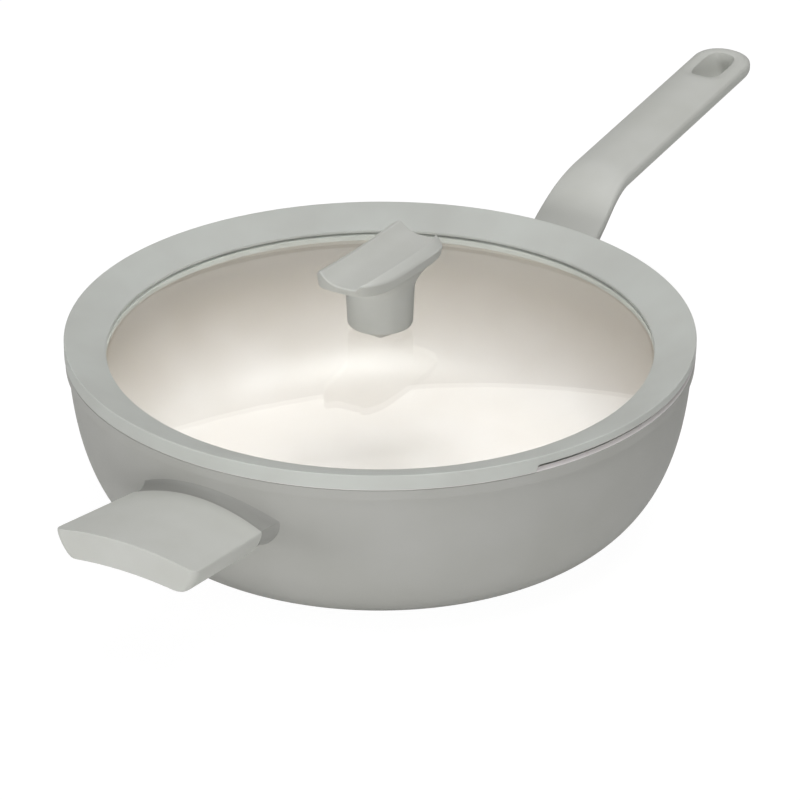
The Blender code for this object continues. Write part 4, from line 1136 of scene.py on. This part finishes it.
def helper_under(helper, x, y):
    """Height of the helper handle's underside: a hull that turns in at both sides, round a keel whose
    middle arches up as a parabola."""
    half = helper_half_at(helper, x)
    edge_z = helper.root_height + (x - helper.root) * math.tan(helper.slope)
    distance = half - corner_loss(x, helper.end, helper.corner) - np.abs(y)
    rise = hull_rise(distance, half * (1.0 - helper.keel), helper.depth - helper.side,
                     power=1.4)
    arch = helper.arch * np.maximum(1.0 - (y / (half * helper.keel)) ** 2, 0.0)
    return edge_z - helper.depth + rise + arch


class WOK_OT_helper_handle(bpy.types.Operator):
    """Helper handle and its bracket"""
    bl_idname = "wok.helper_handle"
    bl_label = "Helper handle and bracket"

    def execute(self, context):
        wok = context.scene.wok
        helper = wok.helper
        x = helper.root + (helper.end - helper.root) * far_end(70)
        outer = helper_half_at(helper, x) - corner_loss(x, helper.end, helper.corner)
        grids = turned_round(slab(partial(helper_top, helper), partial(helper_under, helper), x,
                                  np.zeros_like(x), outer, rows=60))
        make_piece("helper_grip", grids, "grip", "pan", ["helper_handle"])
        bracket = wok.bracket
        inset = bracket.inset
        # Half width, edge, crown, side, depth and power of the section at either end
        neck = (helper.root_half - 0.7 * inset, helper.root_height - 0.4 * inset,
                helper.root_crown, helper.side, helper.depth - 2.0 * inset, 5.0)
        foot = (bracket.helper_half, helper.root_height - 0.3 * inset, bracket.helper_crown, 0.0002,
                bracket.helper_depth, 2.0)
        grid = turned_round([bracket_grid(wok.pan, bracket, helper.root, neck, foot)])
        make_piece("helper_bracket", grid, "bracket", "pan", ["helper_handle_bracket"])
        return {"FINISHED"}


# Finish of a fixing by a word in its name; the others are steel like the screws
FIXINGS = {"stud": "stud", "gasket": "gasket", "insert": "brass"}


class WOK_OT_fixings(bpy.types.Operator):
    """Finishes of the studs, screws, gaskets, washer and insert, whose CAD shapes stay"""
    bl_idname = "wok.fixings"
    bl_label = "Fixings"

    def execute(self, context):
        for name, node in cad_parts.items():
            if node.hide_render:
                continue
            kinds = [FIXINGS[word] for word in FIXINGS if word in name] + ["screw"]
            node.data.materials.clear()
            node.data.materials.append(finish_of(kinds[0]))
        return {"FINISHED"}


# The studio

def direction(azimuth, elevation):
    """Unit vector from the object, with azimuth measured from -Y towards +X."""
    flat = math.cos(elevation)
    return Vector((math.sin(azimuth) * flat, -math.cos(azimuth) * flat, math.sin(elevation)))


def soft_box(name, azimuth, elevation, distance, width, depth, brightness, roll=0.0):
    """Area lamp that faces the lid's middle, rolled about its own axis. Its power gives it a plain
    brightness: power is brightness times pi times its area."""
    lamp = bpy.data.lights.new(name, "AREA")
    lamp.shape = "RECTANGLE"
    lamp.size = width
    lamp.size_y = depth
    lamp.energy = brightness * math.pi * width * depth
    box = bpy.data.objects.new(name, lamp)
    back = direction(math.radians(azimuth), math.radians(elevation))
    middle = Vector((0.0, 0.0, 0.09))
    box.location = middle + back * distance
    box.rotation_mode = "QUATERNION"
    turn = Quaternion((0.0, 0.0, 1.0), math.radians(roll))
    box.rotation_quaternion = back.to_track_quat("Z", "Y") @ turn
    box.visible_camera = False
    bpy.context.scene.collection.objects.link(box)


def white_for_sight(tree, mirrored):
    """Node that gives 1 for rays that the camera sends, straight or through glass, a share of that for
    reflections, and 0 for those that light the object."""
    path = add_node(tree, "ShaderNodeLightPath").outputs
    gloss = add_node(tree, "ShaderNodeMath", {0: path["Is Glossy Ray"], 1: mirrored}, operation="MULTIPLY")
    seen = add_node(tree, "ShaderNodeMath", {0: path["Is Camera Ray"], 1: gloss}, operation="MAXIMUM")
    seen = add_node(tree, "ShaderNodeMath", {0: seen, 1: path["Is Transmission Ray"]}, operation="MAXIMUM")
    direct = add_node(tree, "ShaderNodeMath", {0: path["Diffuse Depth"], 1: 0.5}, operation="LESS_THAN")
    return add_node(tree, "ShaderNodeMath", {0: seen, 1: direct}, operation="MULTIPLY")


def make_world(studio):
    """World that is white to the eye and a plain ambient light to the object."""
    world = bpy.data.worlds.new("studio")
    bpy.context.scene.world = world
    tree = empty_tree(world)
    seen = white_for_sight(tree, studio.mirrored)
    strength = add_node(tree, "ShaderNodeMapRange", {0: seen, 3: studio.ambient, 4: 1.0})
    back = add_node(tree, "ShaderNodeBackground", {"Color": (1.0, 1.0, 1.0, 1.0), "Strength": strength})
    add_node(tree, "ShaderNodeOutputWorld", {"Surface": back})


def make_floor(colours, mirrored):
    """Round white floor. To the eye it is mostly plain white, so the object's shadow on it stays
    faint, and from below it isn't seen."""
    level, middle, outside = -0.0002, 0.6, 12.0
    plain_white, plain_share = 1.1, 0.88
    points = turned(np.array([(0.0, level), (middle, level), (outside, level)]), 96)
    faces = grid_faces(*points.shape[:2])[:, ::-1]
    mesh = bpy.data.meshes.new("floor")
    mesh.from_pydata(points.reshape(-1, 3).tolist(), [], faces.tolist())
    mesh.update()
    floor = bpy.data.objects.new("floor", mesh)
    bpy.context.scene.collection.objects.link(floor)
    finish = bpy.data.materials.new("studio floor")
    tree = empty_tree(finish)
    paper = add_node(tree, "ShaderNodeBsdfDiffuse", {"Color": linear(colours.floor)})
    glow = add_node(tree, "ShaderNodeEmission", {"Strength": plain_white})
    seen = white_for_sight(tree, mirrored)
    factor = add_node(tree, "ShaderNodeMath", {0: seen, 1: plain_share}, operation="MULTIPLY")
    above = add_node(tree, "ShaderNodeMixShader", {0: factor, 1: paper, 2: glow})
    below = add_node(tree, "ShaderNodeNewGeometry").outputs["Backfacing"]
    clear = add_node(tree, "ShaderNodeBsdfTransparent")
    both = add_node(tree, "ShaderNodeMixShader", {0: below, 1: above, 2: clear})
    add_node(tree, "ShaderNodeOutputMaterial", {"Surface": both})
    mesh.materials.append(finish)


def make_camera(studio):
    """Camera at the photograph's angle. It is turned a little so that the lid's middle stands where
    the photograph has it, and so needs no lens shift."""
    back = direction(studio.azimuth, studio.elevation)
    target = Vector((0.0, 0.0, studio.aim_height))
    camera = bpy.data.objects.new("camera", bpy.data.cameras.new("camera"))
    bpy.context.scene.collection.objects.link(camera)
    camera.data.lens = studio.lens
    camera.data.sensor_width = 36.0
    camera.data.clip_end = 50.0
    camera.location = target + back * studio.distance
    right = Vector((math.cos(studio.azimuth), math.sin(studio.azimuth), 0.0))
    up = back.cross(right)
    forward = -back - studio.aim_right * right - studio.aim_up * up
    forward.normalize()
    right = forward.cross(Vector((0.0, 0.0, 1.0))).normalized()
    up = right.cross(forward)
    camera.rotation_mode = "QUATERNION"
    camera.rotation_quaternion = Matrix((right, up, -forward)).transposed().to_quaternion()
    bpy.context.scene.camera = camera


class WOK_OT_studio(bpy.types.Operator):
    """Floor, white surroundings, soft lamps and the camera"""
    bl_idname = "wok.studio"
    bl_label = "Studio"

    def execute(self, context):
        wok = context.scene.wok
        context.scene.view_settings.view_transform = "Standard"
        make_world(wok.studio)
        make_floor(wok.colours, wok.studio.mirrored)
        # Degrees, degrees, metres of distance, width and depth, and the brightness
        soft_box("front_window", -57.3, 2.0, 1.8, 1.3, 0.8, 5.2)
        soft_box("left_window", -117.3, 6.0, 1.8, 0.9, 0.5, 4.7)
        soft_box("right_overhead", 32.7, 72.0, 1.6, 0.9, 0.9, 2.9)
        soft_box("overhead", -57.3, 73.0, 1.6, 0.9, 0.9, 4.1)
        soft_box("rear_card", 131.0, 47.3, 1.6, 2.6, 0.5, 1.08, roll=8.0)
        make_camera(wok.studio)
        return {"FINISHED"}


# What the operators make, in order
PIECES = ("pan", "lid", "knob", "long_handle", "helper_handle", "fixings", "studio")


def own_keys(group):
    """Names of a group's own properties."""
    return [key for key in group.bl_rna.properties.keys() if key not in ("rna_type", "name")]


class WOK_PT_panel(bpy.types.Panel):
    """Sizes, colours and makers of the wok"""
    bl_idname = "WOK_PT_panel"
    bl_label = "Wok with glass lid"
    bl_space_type = "VIEW_3D"
    bl_region_type = "UI"
    bl_category = "Wok"

    def draw(self, context):
        wok = context.scene.wok
        for name in PIECES:
            self.layout.operator("wok." + name)
        for part in own_keys(wok):
            column = self.layout.box().column()
            column.label(text=part.capitalize())
            for key in own_keys(getattr(wok, part)):
                column.prop(getattr(wok, part), key)


CLASSES = (
    WokPanSizes, WokLidSizes, WokKnobSizes, WokGripSizes, WokHelperSizes, WokBracketSizes, WokColours,
    WokStudio, WokProperties, WOK_OT_pan, WOK_OT_lid, WOK_OT_knob, WOK_OT_long_handle,
    WOK_OT_helper_handle, WOK_OT_fixings, WOK_OT_studio, WOK_PT_panel,
)


def register():
    """Register the classes and hang the properties on the scene."""
    for made in CLASSES:
        bpy.utils.register_class(made)
    bpy.types.Scene.wok = PointerProperty(type=WokProperties)


def unregister():
    """Take the properties and the classes away again."""
    del bpy.types.Scene.wok
    for made in reversed(CLASSES):
        bpy.utils.unregister_class(made)


def main():
    """Make every piece and the studio, in order."""
    register()
    for name in PIECES:
        getattr(bpy.ops.wok, name)()


if __name__ == "__main__":
    main()
